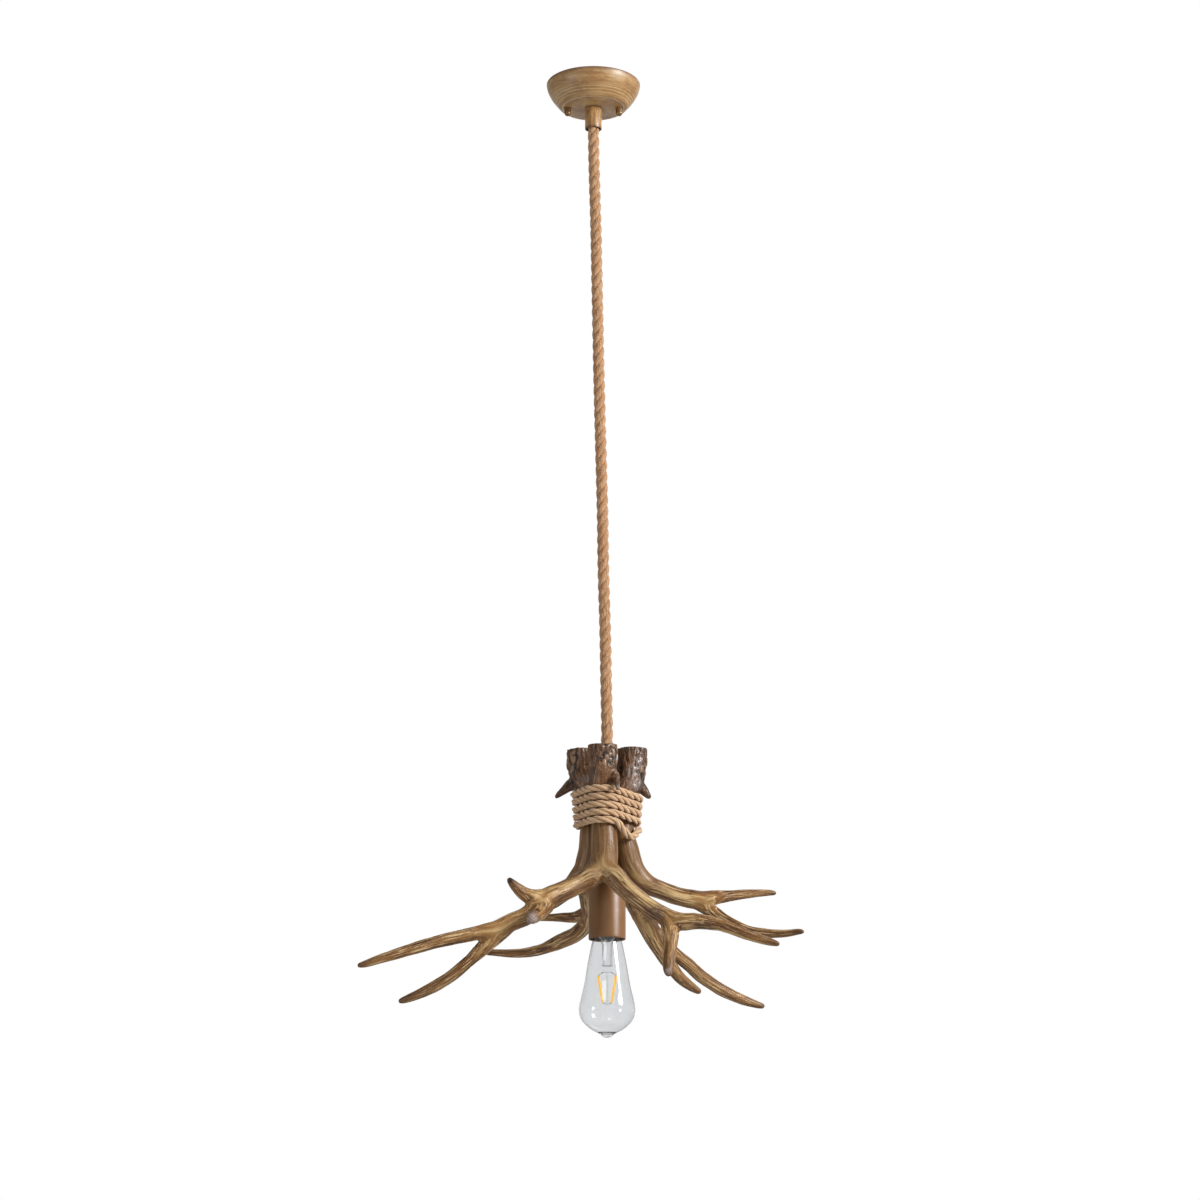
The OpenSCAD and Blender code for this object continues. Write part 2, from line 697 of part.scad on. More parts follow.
// A place on a shaft's skin at a height, sunk a little under it
function on_skin(shaft, z, turn, sunk) =
    let (at = shaft_at(shaft, z))
    [at[0] + (at[2] - sunk) * cos(turn), at[1] + (at[2] - sunk) * sin(turn), z];

// Round lumps of the burr under a sawn top, on the side that faces outwards
module burr(shaft, out_turn) {
    for (i = [0:8]) {
        turn = out_turn + (i - 4) * 27;
        z = -6 - 9 * (i % 3) - 2 * (i % 2);
        lump = 2.2 + 0.5 * ((i * 2) % 3);
        limb([
            concat(on_skin(shaft, z + lump, turn, 1.4), [lump * 0.5]),
            concat(on_skin(shaft, z, turn, 0.8), [lump]),
            concat(on_skin(shaft, z - 4 - lump * 0.7, turn + 5, 1.8), [lump * 0.4])
        ], 8, 1);
    }
}

module screw_holes(i) {
    rotate([0, 0, screw_turn[i]]) translate([0, 0, screw_z[i]]) rotate([0, 90, 0]) {
        cylinder(h = screw_hole_l, r = screw_d / 2 + slip_gap, $fn = 32);
        translate([0, 0, screw_head_out - screw_head_t])
            cylinder(h = head_hole_l, r = screw_head_r + slip_gap, $fn = 32);
    }
}

module antler_front() {
    color(antler) in_lamp() difference() {
        union() {
            limb(front_shaft, 14, 2);
            limb(front_left_beam, 12, 2);
            limb(front_tine_long, 10, 2);
            limb(front_tine_low, 10, 2);
            limb(front_tine_up, 10, 2);
            limb(front_stub, 10, 2);
            limb(front_right_beam, 12, 2);
            limb(front_tine_down, 10, 2);
            limb(front_spike, 8, 2);
            burr(front_shaft, burr_turn[0]);
        }
        screw_holes(0);
    }
}

module antler_right() {
    color(antler) in_lamp() difference() {
        union() {
            limb(right_shaft, 14, 2);
            limb(right_beam, 12, 2);
            limb(right_tine_high, 10, 2);
            limb(right_tine_low, 10, 2);
            limb(right_trunk, 12, 2);
            limb(right_back_long, 10, 2);
            limb(right_back_low, 10, 2);
            limb(right_spike, 8, 2);
            burr(right_shaft, burr_turn[1]);
        }
        screw_holes(1);
    }
}

module antler_left() {
    color(antler) in_lamp() difference() {
        union() {
            limb(left_shaft, 14, 2);
            limb(left_trunk, 12, 2);
            limb(left_tine_back, 10, 2);
            limb(left_branch, 12, 2);
            limb(left_spike, 8, 2);
            burr(left_shaft, burr_turn[2]);
        }
        screw_holes(2);
    }
}

module antler_screws() {
    color(screw_grey) in_lamp() for (i = [0:2])
        rotate([0, 0, screw_turn[i]]) translate([0, 0, screw_z[i]]) rotate([0, 90, 0]) {
            translate([0, 0, screw_tip])
                cylinder(h = screw_head_out - screw_tip, r = screw_d / 2, $fn = 32);
            translate([0, 0, screw_head_out - screw_head_t])
                cylinder(h = screw_head_t, r = screw_head_r, $fn = 32);
        }
}

// Binding: a rope pulled tight round the three shafts
function between(a, b, u) = a + (b - a) * u;
function reach(held, dir) =
    let (
        along = held[0] * dir[0] + held[1] * dir[1],
        aside = held[0] * dir[1] - held[1] * dir[0],
        r = held[2] + binding_d / 2 + binding_slack
    )
    abs(aside) < r ? along + sqrt(r * r - aside * aside) : 0;
function shafts_at(z) = [for (shaft = [front_shaft, right_shaft, left_shaft]) shaft_at(shaft, z)];
function wrap_radius(turn, z) = max([for (rise = [-binding_d / 2, binding_d / 2])
    let (c = shafts_at(z + rise))
    for (i = [0:2], s = [0:0.1:1]) reach(between(c[i], c[(i + 1) % 3], s), [cos(turn), sin(turn)])]);
function binding_z(turn) = binding_top - binding_pitch * (turn - 180) / 360;
function on_binding(turn) =
    let (
        tail = min(1, max(0, (turn - binding_start - binding_angle) / tail_angle)),
        z = binding_z(turn) - tail_drop * pow(sin(180 * tail), 1.5),
        r = wrap_radius(turn, z) + 2 * sin(180 * tail)
    )
    [r * cos(turn), r * sin(turn), z];
binding_turns = [for (a = [0:ring_step:binding_angle]) binding_start + a];
tail_turns = [for (k = [1:12]) binding_start + binding_angle + tail_angle * k / 12];
binding_bare = [for (a = concat(binding_turns, tail_turns)) on_binding(a)];
function level(v) = [v[0], v[1], 0];
function straight_end(p, q) = q + unit(level(q - p)) * binding_d;
binding_path = concat(
    [straight_end(binding_bare[1], binding_bare[0])],
    binding_bare,
    [straight_end(binding_bare[len(binding_bare) - 2], binding_bare[len(binding_bare) - 1])]
);
binding_gap = min([for (i = [0:len(binding_path) - 20], j = [i + 19:len(binding_path) - 1])
    norm(binding_path[i] - binding_path[j])]) - binding_d;

module rope_binding() {
    echo(least_gap_of_the_binding_to_itself = binding_gap);
    color([0.76, 0.6, 0.42]) in_lamp() cord(binding_path, binding_d / 2, 6);
}

// Lampholder
module cover_washer() {
    color(steel) in_lamp() ring(cover_top + washer_t, cover_top, hub_d / 2 + 4, hub_d / 2 + fit_gap);
}

module cover_nut() {
    low = cover_top + washer_t;
    color(steel) in_lamp() hex_nut(low + 4, low, hub_d + 4, hub_d / 2 + fit_gap);
}

module socket_cover() {
    edge = 1.5;
    color([0.49, 0.36, 0.24]) in_lamp() rotate_extrude($fn = 96) polygon([
        [hub_d / 2 + slip_gap, cover_top], [cover_r - edge, cover_top], [cover_r, cover_top - edge],
        [cover_r, cover_low], [cover_r - cover_wall, cover_low],
        [cover_r - cover_wall, cover_top - edge - 0.4], [cover_r - edge - 0.4, insulator_top],
        [hub_d / 2 + slip_gap, insulator_top]
    ]);
}

module socket_insulator() {
    chamfer = 2;
    color([0.8, 0.82, 0.76]) in_lamp() difference() {
        rotate_extrude($fn = 96) polygon([
            [hub_d / 2 + fit_gap, insulator_top], [insulator_r - chamfer, insulator_top],
            [insulator_r, insulator_top - chamfer], [insulator_r, insulator_low],
            [shell_r + shell_t + fit_gap, insulator_low], [shell_r + shell_t + fit_gap, shell_top],
            [0, shell_top], [0, chamber_low], [chamber_r, chamber_low], [chamber_r, hub_low],
            [hub_d / 2 + fit_gap, hub_low]
        ]);
        for (x = [-terminal_x, terminal_x]) translate([x, 0, shell_top - cut])
            cylinder(h = chamber_low - shell_top + 2 * cut, r = terminal_r + fit_gap, $fn = 32);
    }
}

module screw_shell() {
    bands = 6;
    low = insulator_low + 0.5;
    color(brass) in_lamp() {
        rotate_extrude($fn = 96) polygon(concat(
            [for (i = [0:4 * bands]) let (z = low + (shell_top - low) * i / (4 * bands))
                [shell_r + 0.15 - 0.15 * cos(90 * i), z]],
            [[shell_r + shell_t, shell_top], [shell_r + shell_t, low]]
        ));
        difference() {
            translate([terminal_x - 2.5, -2.5, shell_top - shell_t])
                cube([shell_r - terminal_x + 2.7, 5, shell_t]);
            translate([terminal_x, 0, shell_top - 2 * shell_t])
                cylinder(h = 3 * shell_t, r = terminal_r + fit_gap, $fn = 32);
        }
    }
}

module socket_contact() {
    color(brass) in_lamp() {
        translate([0, 0, contact_low]) cylinder(h = contact_top - contact_low, r = 2.4, $fn = 48);
        difference() {
            translate([-terminal_x - 2.5, -2.5, contact_top])
                cube([terminal_x + 4, 5, shell_top - contact_top]);
            translate([-terminal_x, 0, contact_top - cut])
                cylinder(h = 4, r = terminal_r + fit_gap, $fn = 32);
        }
    }
}

module socket_screws() {
    color(steel) in_lamp() for (x = [-terminal_x, terminal_x]) translate([x, 0, 0]) {
        translate([0, 0, contact_top]) cylinder(h = chamber_low - contact_top, r = terminal_r, $fn = 32);
        translate([0, 0, chamber_low]) cylinder(h = terminal_head_t, r = 2.6, $fn = 32);
    }
}

module socket_lead(side) {
    top = core_low - seat_gap;
    low = chamber_low + terminal_head_t + seat_gap;
    color(side < 0 ? live_brown : neutral_blue) in_lamp() cord(smooth([
        [side * 1.5, 0, top], [side * 1.5, 0, top - 1.5], [side * 3.6, 0, (top + low) / 2],
        [side * terminal_x, 0, low + 2], [side * terminal_x, 0, low]
    ], 2), 0.8, 8);
}

module socket_live_lead() {
    socket_lead(-1);
}

module socket_neutral_lead() {
    socket_lead(1);
}

// Bulb
module bulb_cap() {
    bands = 6;
    color([0.78, 0.77, 0.74]) in_lamp() rotate_extrude($fn = 96) polygon(concat(
        [for (i = [0:4 * bands]) let (z = cap_low + (cap_h - cap_slope_h) * i / (4 * bands))
            [cap_r - cap_fold * (0.5 - 0.5 * sin(90 * i)), z]],
        [[cap_hole_r + cap_sheet, cap_top], [cap_hole_r, cap_top - cap_sheet],
         [cap_r - cap_fold - cap_sheet, cap_top - cap_slope_h - cap_sheet],
         [cap_r - cap_fold - cap_sheet, cap_low]]
    ));
}

module bulb_cap_insulator() {
    color([0.08, 0.08, 0.09]) in_lamp() rotate_extrude($fn = 64) polygon([
        [contact_stem_r + 0.1, cap_top - 0.6], [cap_hole_r - slip_gap, cap_top - 0.6],
        [cap_hole_r - slip_gap, cap_top + 0.2], [4.6, tip_top - 0.6],
        [contact_stem_r + 0.1, tip_top - 0.6]
    ]);
}

module bulb_contact() {
    color([0.72, 0.72, 0.72]) in_lamp() translate([0, 0, cap_top - 1.6]) {
        cylinder(h = tip_top - cap_top + 1.4, r = contact_stem_r, $fn = 48);
        translate([0, 0, tip_top - cap_top + 1]) cylinder(h = 0.6, r = 3.2, $fn = 48);
    }
}

function inset(p, i) =
    let (t = unit(p[i + 1] - p[max(i - 1, 0)])) [p[i][0] - glass_wall * t[1], p[i][1] + glass_wall * t[0]];

module bulb_glass() {
    curve = smooth(bulb_outline, 2);
    last = len(curve) - 1;
    inner = [for (i = [0:last - 1]) if (curve[i][1] < nipple_depth) inset(curve, i)];
    outline = concat(
        [for (i = [0:last - 1]) [curve[i][0], -curve[i][1]]],
        [[0, -curve[last][1]], [0, glass_wall - nipple_depth]],
        [for (i = [len(inner) - 1:-1:0]) [inner[i][0], -inner[i][1]]]
    );
    color([0.85, 0.92, 0.95, 0.3]) in_lamp() translate([0, 0, cap_low - slip_gap])
        rotate_extrude($fn = 96) polygon(outline);
}

module bulb_stem() {
    flare = cap_low - 1.1;
    color([0.85, 0.92, 0.95, 0.4]) in_lamp() {
        rotate_extrude($fn = 64) polygon([
            [bulb_neck_r - 2.6, flare], [bulb_neck_r - 0.6, flare], [7.5, flare - 5],
            [6, flare - 12], [6, mount_low], [4, mount_low], [4.5, flare - 12], [6, flare - 5]
        ]);
        translate([-6, -2, press_low]) cube([12, 4, mount_low - press_low]);
        translate([0, 0, rod_low]) cylinder(h = press_low - rod_low, r = 1, $fn = 32);
    }
}

module bulb_wires() {
    foot = filament_top - filament_l;
    color([0.7, 0.7, 0.72]) in_lamp() for (side = [-1, 1]) {
        rod([side * 4.5, 0, press_low], [side * filament_x, 0, filament_top + seat_gap], wire_r);
        rod([side * filament_low_x, 0, foot - seat_gap], [side * 1.3, 0, rod_low + 1], wire_r);
    }
}

module bulb_filaments() {
    foot = filament_top - filament_l;
    color([1, 0.75, 0.25]) in_lamp() for (side = [-1, 1])
        rod([side * filament_x, 0, filament_top], [side * filament_low_x, 0, foot], 0.9);
}

module bulb_driver() {
    driver_w = 2 * (cap_r - cap_fold - cap_sheet - seat_gap);
    color([0.2, 0.45, 0.3]) in_lamp()
        translate([-driver_w / 2, -0.8, cap_low + 3]) cube([driver_w, 1.6, 14]);
}

mounting_bar();
canopy_studs();
stud_locknuts();
canopy();
cap_nuts();
stem_tube();
stem_washer();
stem_locknut();
rope_clamp();
clamp_screw();
rope_top_stretch();
cable_top_stretch();
terminal_block();
terminal_barrels();
terminal_screws();
block_screw();
earth_screw();
earth_lug();
live_lead();
neutral_lead();
earth_lead();
rope_neck();
rope_hanging();
core_cable();
rope_ferrule();
hub_tube();
antler_front();
antler_right();
antler_left();
antler_screws();
rope_binding();
cover_nut();
cover_washer();
socket_cover();
socket_insulator();
screw_shell();
socket_contact();
socket_screws();
socket_live_lead();
socket_neutral_lead();
bulb_cap();
bulb_cap_insulator();
bulb_contact();
bulb_glass();
bulb_stem();
bulb_wires();
bulb_filaments();
bulb_driver();
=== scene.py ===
import math
import bpy
import numpy as np
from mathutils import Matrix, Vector, noise


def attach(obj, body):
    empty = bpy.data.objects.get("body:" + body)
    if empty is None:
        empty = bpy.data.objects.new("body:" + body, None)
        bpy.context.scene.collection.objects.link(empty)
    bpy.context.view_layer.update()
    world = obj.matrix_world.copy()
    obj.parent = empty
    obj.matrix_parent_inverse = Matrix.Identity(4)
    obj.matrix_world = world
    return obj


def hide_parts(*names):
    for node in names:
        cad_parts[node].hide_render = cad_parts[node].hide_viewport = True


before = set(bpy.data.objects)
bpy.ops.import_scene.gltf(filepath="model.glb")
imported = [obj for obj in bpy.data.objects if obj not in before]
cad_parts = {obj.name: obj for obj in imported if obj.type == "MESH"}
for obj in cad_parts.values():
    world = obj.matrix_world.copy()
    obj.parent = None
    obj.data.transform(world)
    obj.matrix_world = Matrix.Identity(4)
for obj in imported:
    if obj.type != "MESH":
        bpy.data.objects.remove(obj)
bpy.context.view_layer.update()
mm = 0.001
sameSpot = 0.00001  # points nearer than this, in metres, are merged
lampPlace = np.array([16.0, 0.0, -820.0])  # the lamp's axis at the sawn tops, in millimetres
bpy.ops.object.select_all(action="DESELECT")

# Camera, where the photograph was taken from
viewpoint = {"place": (0.008, -3.692, -1.598), "tilt": 104.5, "lens": 98.7, "sensor": 36, "farthest": 60}
bpy.ops.object.camera_add(location=viewpoint["place"], rotation=(math.radians(viewpoint["tilt"]), 0, 0))
camera = bpy.context.object
camera.data.lens = viewpoint["lens"]
camera.data.sensor_width = viewpoint["sensor"]
camera.data.clip_end = viewpoint["farthest"]
bpy.context.scene.camera = camera
bpy.context.scene.view_settings.view_transform = "Standard"
print("camera placed")


# Curves through given points, as the solids follow them
def smoothLine(points, steps):
    p = np.array(points, float)
    line = []
    for i in range(len(p) - 1):
        a, b, c, d = p[max(i - 1, 0)], p[i], p[i + 1], p[min(i + 2, len(p) - 1)]
        for j in range(steps):
            u = j / steps
            line.append(0.5 * (2 * b + (c - a) * u + (2 * a - 5 * b + 4 * c - d) * u * u
                               + (3 * b - a - 3 * c + d) * u ** 3))
    line.append(p[-1])
    return np.array(line)


# The same curve with points a gap apart, and how far along it each one lies
def evenLine(points, gap, steps=12):
    line = smoothLine(points, steps)
    run = np.concatenate([[0], np.cumsum(np.linalg.norm(np.diff(line[:, :3], axis=0), axis=1))])
    marks = np.linspace(0, run[-1], max(3, int(round(run[-1] / gap)) + 1))
    return np.stack([np.interp(marks, run, line[:, k]) for k in range(line.shape[1])], 1), marks


# Two directions square to a line at each of its points, carried along it without a twist
def carriedSides(line, firstSide):
    ahead = np.gradient(line[:, :3], axis=0)
    ahead /= np.linalg.norm(ahead, axis=1)[:, None]
    side = np.zeros_like(ahead)
    carry = np.array(firstSide, float)
    for i, t in enumerate(ahead):
        carry = carry - t * (carry @ t)
        carry /= np.linalg.norm(carry)
        side[i] = carry
    return side, np.cross(ahead, side)


def addMesh(name, places, faces):
    mesh = bpy.data.meshes.new(name)
    mesh.from_pydata([tuple(p) for p in places], [], faces)
    mesh.update()
    piece = bpy.data.objects.new(name, mesh)
    bpy.context.scene.collection.objects.link(piece)
    for face in mesh.polygons:
        face.use_smooth = True
    return piece


def vectorNote(piece, name, values):
    note = piece.data.attributes.new(name, "FLOAT_VECTOR", "POINT")
    note.data.foreach_set("vector", np.asarray(values, np.float32).ravel())


def named(name):
    piece = bpy.context.object
    piece.name = name
    piece.data.name = name
    return piece


def fitted(piece, body, node):
    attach(piece, body)
    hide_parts(node)
    return piece


def tubeFaces(rings, sides, first):
    faces = []
    for i in range(rings - 1):
        for k in range(sides):
            m = (k + 1) % sides
            low = first + i * sides
            faces.append((low + k, low + m, low + sides + m, low + sides + k))
    faces.append(tuple(first + k for k in reversed(range(sides))))
    faces.append(tuple(first + (rings - 1) * sides + k for k in range(sides)))
    return faces


# Rope with its strands laid right-handed, each lobed by its yarns. "fibre" notes the place round the yarns,
# the way along in metres, and the share of the radius.
def laidRope(name, points, size):
    line, run = evenLine(points, size["step"])
    side, other = carriedSides(line, size["firstSide"])
    spots, faces, fibre = [], [], []
    count, sides, strands = len(line), size["sides"], size["strands"]
    around = 2 * math.pi * np.arange(sides) / sides
    for strand in range(strands):
        turn = 2 * math.pi * (run / size["lay"] + strand / strands) + size["turned"]
        middle = line + size["offset"] * (np.cos(turn)[:, None] * side + np.sin(turn)[:, None] * other)
        strandSide, strandOther = carriedSides(middle, side[0])
        swirl = around[None, :] - 2 * math.pi * (run / size["yarnLay"])[:, None]
        lobes = 1 + size["yarnDepth"] * np.abs(np.cos(swirl * size["yarns"] / 2)) - size["yarnDepth"]
        radius = size["strandRadius"] * lobes
        ring = (middle[:, None, :] + radius[:, :, None]
                * (np.cos(around)[None, :, None] * strandSide[:, None, :]
                   + np.sin(around)[None, :, None] * strandOther[:, None, :]))
        deep = np.linalg.norm(ring - line[:, None, :], axis=2) / (size["offset"] + size["strandRadius"])
        faces += tubeFaces(count, sides, len(spots) * count * sides)
        spots.append(ring.reshape(-1, 3))
        fibre.append(np.stack([
            swirl.ravel() / (2 * math.pi) + strand * size["fibreShift"],
            np.repeat(run * mm, sides),
            deep.ravel()], 1))
    piece = addMesh(name, np.concatenate(spots) * mm, faces)
    vectorNote(piece, "fibre", np.concatenate(fibre))
    return piece, line * mm


mainRope = {
    "step": 1.5, "sides": 26, "strands": 3, "lay": 42, "offset": 2.85, "strandRadius": 4.15,
    "yarnLay": -46, "yarns": 7, "yarnDepth": 0.08, "fibreShift": 3.7, "firstSide": (1, 0, 0),
    "turned": 0.6, "bendTurned": -0.15, "endTurned": 2.9,
    "route": [
        (0, 0, -50), (0.3, 0, -70), (1, 0, -110), (3, 0, -180), (5, 0, -280), (7, 0, -380), (9, 0, -460),
        (11, 0, -540), (12, 0, -610), (14, 0, -680), (15, 0, -740), (16, 0, -790), (16, 0, -820),
        (16, 0, -836)],
    "bend": [(0, 0, -45), (0, 0, -48), (0, 0, -51)],
    "end": [(0, 0, -14), (0, 0, -30), (0, 0, -44.7)],
}
hangingRope, ropeLine = laidRope("hangingRope", mainRope["route"], mainRope)
fitted(hangingRope, "rope", "rope_hanging")
ropeBend, _ = laidRope("ropeBend", mainRope["bend"], dict(mainRope, turned=mainRope["bendTurned"]))
fitted(ropeBend, "rope_neck", "rope_neck")
ropeTop, _ = laidRope("ropeTop", mainRope["end"], dict(mainRope, turned=mainRope["endTurned"]))
fitted(ropeTop, "canopy", "rope_top_stretch")


# Round tube along a line in metres, with its radius in millimetres at each point
def sweptTube(name, line, radii):
    bpy.ops.curve.primitive_bezier_curve_add()
    tube = named(name)
    tube.data.splines.clear()
    thread = tube.data.splines.new("POLY")
    thread.points.add(len(line) - 1)
    for point, place, radius in zip(thread.points, line, radii):
        point.co = (*place, 1)
        point.radius = radius
    tube.data.dimensions = "3D"
    tube.data.bevel_depth = mm
    tube.data.bevel_resolution = 6
    tube.data.use_fill_caps = True
    bpy.ops.object.convert(target="MESH")
    return bpy.context.object


def roundWire(name, points, radius, body, node):
    line = smoothLine(points, 6) * mm
    piece = sweptTube(name, line, [radius] * len(line))
    bpy.ops.object.shade_smooth_by_angle(angle=math.radians(50))
    return fitted(piece, body, node), line


# The cable inside the rope, and its end in the canopy
cable = {"radius": 3, "exit": (0, 0, -59.3), "inLamp": [(16, 0, -860), (16, 0, -986.2)],
         "end": [(0, 0, -44.7), (0, 0, -28), (0, 0, -12)]}
coreCable, coreLine = roundWire("coreCable", [cable["exit"]] + mainRope["route"][2:] + cable["inLamp"],
                                cable["radius"], "rope", "core_cable")
cableTop, _ = roundWire("cableTop", cable["end"], cable["radius"], "canopy",
                        "cable_top_stretch")

# Leads from the cable's end to the terminal block and the earth lug
leads = {"radius": 1, "top": -12, "barrelHeight": -7, "blockLeft": 11, "inBlock": 6, "pitch": 10,
         "earth": [(-1.6, 0, -12), (-1.6, 0, -10.5), (-1.9, 0, -8), (-3.4, 0, -5.2), (-6, 0, -3.8),
                   (-7.5, 0, -3.8), (-10, 0, -3.8)]}


def blockLead(name, side, node):
    top, height, left = leads["top"], leads["barrelHeight"], leads["blockLeft"]
    y = side * leads["pitch"]
    points = [(0.6, side * 1.3, top), (0.6, side * 1.3, top + 1.5), (1.6, side * 2.4, top + 3.5),
              (5, side * 6, height - 0.6), (8.5, y, height), (left, y, height),
              (left + leads["inBlock"], y, height)]
    return roundWire(name, points, leads["radius"], "canopy", node)[0]


liveLead = blockLead("liveLead", -1, "live_lead")
neutralLead = blockLead("neutralLead", 1, "neutral_lead")
earthLead, _ = roundWire("earthLead", leads["earth"], leads["radius"], "canopy", "earth_lead")

# Leads from the rope's cable to the lampholder's contacts, in the lamp's own frame
socketLeads = {"radius": 0.8, "top": -166.5, "low": -177.9, "inCable": 1.5, "atContact": 6}


def socketLead(name, side, node):
    top, low = socketLeads["top"], socketLeads["low"]
    near, far = side * socketLeads["inCable"], side * socketLeads["atContact"]
    points = [(near, 0, top), (near, 0, top - 1.5), (side * 3.6, 0, (top + low) / 2), (far, 0, low + 2),
              (far, 0, low)]
    points = [np.array(p) + lampPlace for p in points]
    return roundWire(name, points, socketLeads["radius"], "lamp", node)[0]


socketLive = socketLead("socketLive", -1, "socket_live_lead")
socketNeutral = socketLead("socketNeutral", 1, "socket_neutral_lead")
print("wires drawn")

# Antlers: limbs as round curves, made one skin, then grooved and knobbled along their own grain.
# A limb's points are x, y, z and radius. The marks are pale, dark and violet spots with their radii.
frontAntler = {
    "node": "antler_front", "outward": -30, "seed": 11,
    "limbs": [
        [(-5, -30, -1, 16.5), (-5, -29, -12, 16.5), (-5, -26.5, -32, 15.8), (-4.7, -23.2, -47, 14.9),
         (-4.5, -22, -56, 14.4), (-4, -21, -84, 13.4), (-3.5, -21, -98, 14.3), (-3, -23, -120, 15.2),
         (-4, -29, -138, 15.4), (-5, -36, -150, 13.5)],
        [(-2, -31, -140, 12.8), (-17, -37, -153, 12.4), (-33, -43, -163, 11.2), (-50, -52, -173, 11.2),
         (-69, -62, -184, 11.9), (-89, -70, -203, 10.2), (-107, -76, -212, 10), (-124, -81, -221, 10.2),
         (-140, -86, -225, 8)],
        [(-124, -82, -220, 9.2), (-155, -90, -228, 7.4), (-186, -98, -236, 7), (-216, -104, -246, 6.2),
         (-246, -108, -256, 5), (-263, -109, -262, 3.8), (-271, -109, -264, 2.6),
         (-273, -109, -264.5, 1.6)],
        [(-108, -78, -214, 8.8), (-123, -81, -227, 9.4), (-140, -80, -243, 7.9), (-155, -78, -257, 6.7),
         (-171, -75, -270, 6.4), (-187, -71, -280, 6.2), (-202, -66, -287, 5.6), (-218, -60, -293, 4.4),
         (-228, -56.5, -296, 3), (-230.5, -56, -296.6, 1.7)],
        [(-66, -60, -180, 9.5), (-80, -67, -183, 9.6), (-92, -72, -179, 7.6), (-102, -78, -171.5, 5.4),
         (-108, -82, -165.5, 3.3), (-109.5, -83, -163.5, 1.8)],
        [(-67, -62, -190, 9), (-75, -78, -200, 8.6), (-81, -94, -208, 7.4), (-84, -104, -211.5, 5.8),
         (-85.5, -109, -213, 3)],
        [(-8, -31, -140, 12.8), (7, -38, -153, 12.4), (20, -45, -168, 11), (37, -56, -184, 10.2),
         (53, -66, -197.5, 10.2), (70, -74, -208, 10.6), (84, -80, -211.5, 9.8), (99, -84, -211.5, 8.8),
         (127, -90, -217, 6.7), (154, -94, -228, 5.6), (175, -96, -235, 4.6), (187, -97, -238.5, 2.8),
         (189, -97, -239, 1.7)],
        [(68, -73, -208, 10.4), (70, -82, -225, 9.2), (69, -91, -244, 7.3), (67, -98, -262, 6.2),
         (67, -101, -271, 4.5), (67, -102, -274.5, 2.2)],
        [(8, -34, -37, 5.4), (11, -44, -46, 3.6), (12, -50, -55, 2.2), (12.2, -51, -57, 1.2)]],
    "marks": [[(-82, -107, -213, 13), (66.7, -105, -270, 5), (12, -50, -54, 4)],
              [(-76.5, -94.5, -200.8, 4.6), (-107, -85, -165.5, 6)],
              [(52, -78, -200, 18), (105, -92, -222, 16), (-70, -78, -196, 9)]],
}
rightAntler = {
    "node": "antler_right", "outward": -5, "seed": 23,
    "limbs": [
        [(29, 16, 3.4, 16.8), (28.5, 15.5, -12, 17), (26, 14, -34, 16.2), (19.8, 11.4, -47, 14.6),
         (18.8, 11, -56, 14.2), (17.5, 10.5, -84, 13.2), (17.5, 10.5, -98, 14.2), (21.5, 12, -116, 15),
         (30, 16, -137, 13.6), (42, 19, -151, 11.6)],
        [(33, 17, -142, 12.4), (47, 20, -153.5, 11), (62, 22, -159.5, 10.3), (83, 24, -166.5, 10.4),
         (106, 26, -170, 10.8), (122, 27, -170.5, 9.2)],
        [(104, 26, -169.5, 9.8), (124, 28, -166.5, 8), (139, 30, -164.5, 6.4), (161, 34, -161.5, 5),
         (183, 38, -159.5, 3.5), (192, 40, -159.5, 2.4), (193.5, 40.3, -159.5, 1.5)],
        [(104, 26, -172, 9.4), (123, 24, -185.5, 7.2), (138, 20, -196, 6.4), (159, 12, -207, 5.8),
         (181, 4, -211.5, 5.2), (199, -4, -213, 4.3), (216, -12, -212, 3.1), (220, -14, -212.5, 2.2),
         (221, -14.5, -212.6, 1.5)],
        [(20, 15, -108, 12.2), (24, 24, -136, 12.6), (27.5, 44, -159, 11.7), (38, 62, -178, 11),
         (46, 76, -191, 9.6)],
        [(37, 62, -179, 10.6), (57, 90, -200, 8.8), (76, 112, -216.5, 7.8), (96, 132, -229.5, 7.5),
         (112, 146, -241.5, 7.5), (135, 160, -254.5, 7), (158, 172, -263.5, 5.9), (176, 179, -269, 4.2),
         (184, 182.5, -270.5, 2.8), (185.5, 183, -270.8, 1.7)],
        [(36, 57, -176, 10.6), (45.5, 74, -193, 9.6), (57.5, 90, -212, 8.8), (71.5, 104, -231, 7.8),
         (82.5, 114, -244, 7), (94, 122, -253, 5.8), (106.5, 129, -260, 3.6), (109, 130, -261, 2)],
        [(35, 16, -37, 7.5), (42, 16, -45, 5.2), (48, 16, -52, 3), (49.4, 16, -53.6, 1.6)]],
    "marks": [[(29, -1.5, -27, 12), (33, 0, -39, 12), (36, 0, -14, 8)], [], [(34, 4, -42, 10)]],
}
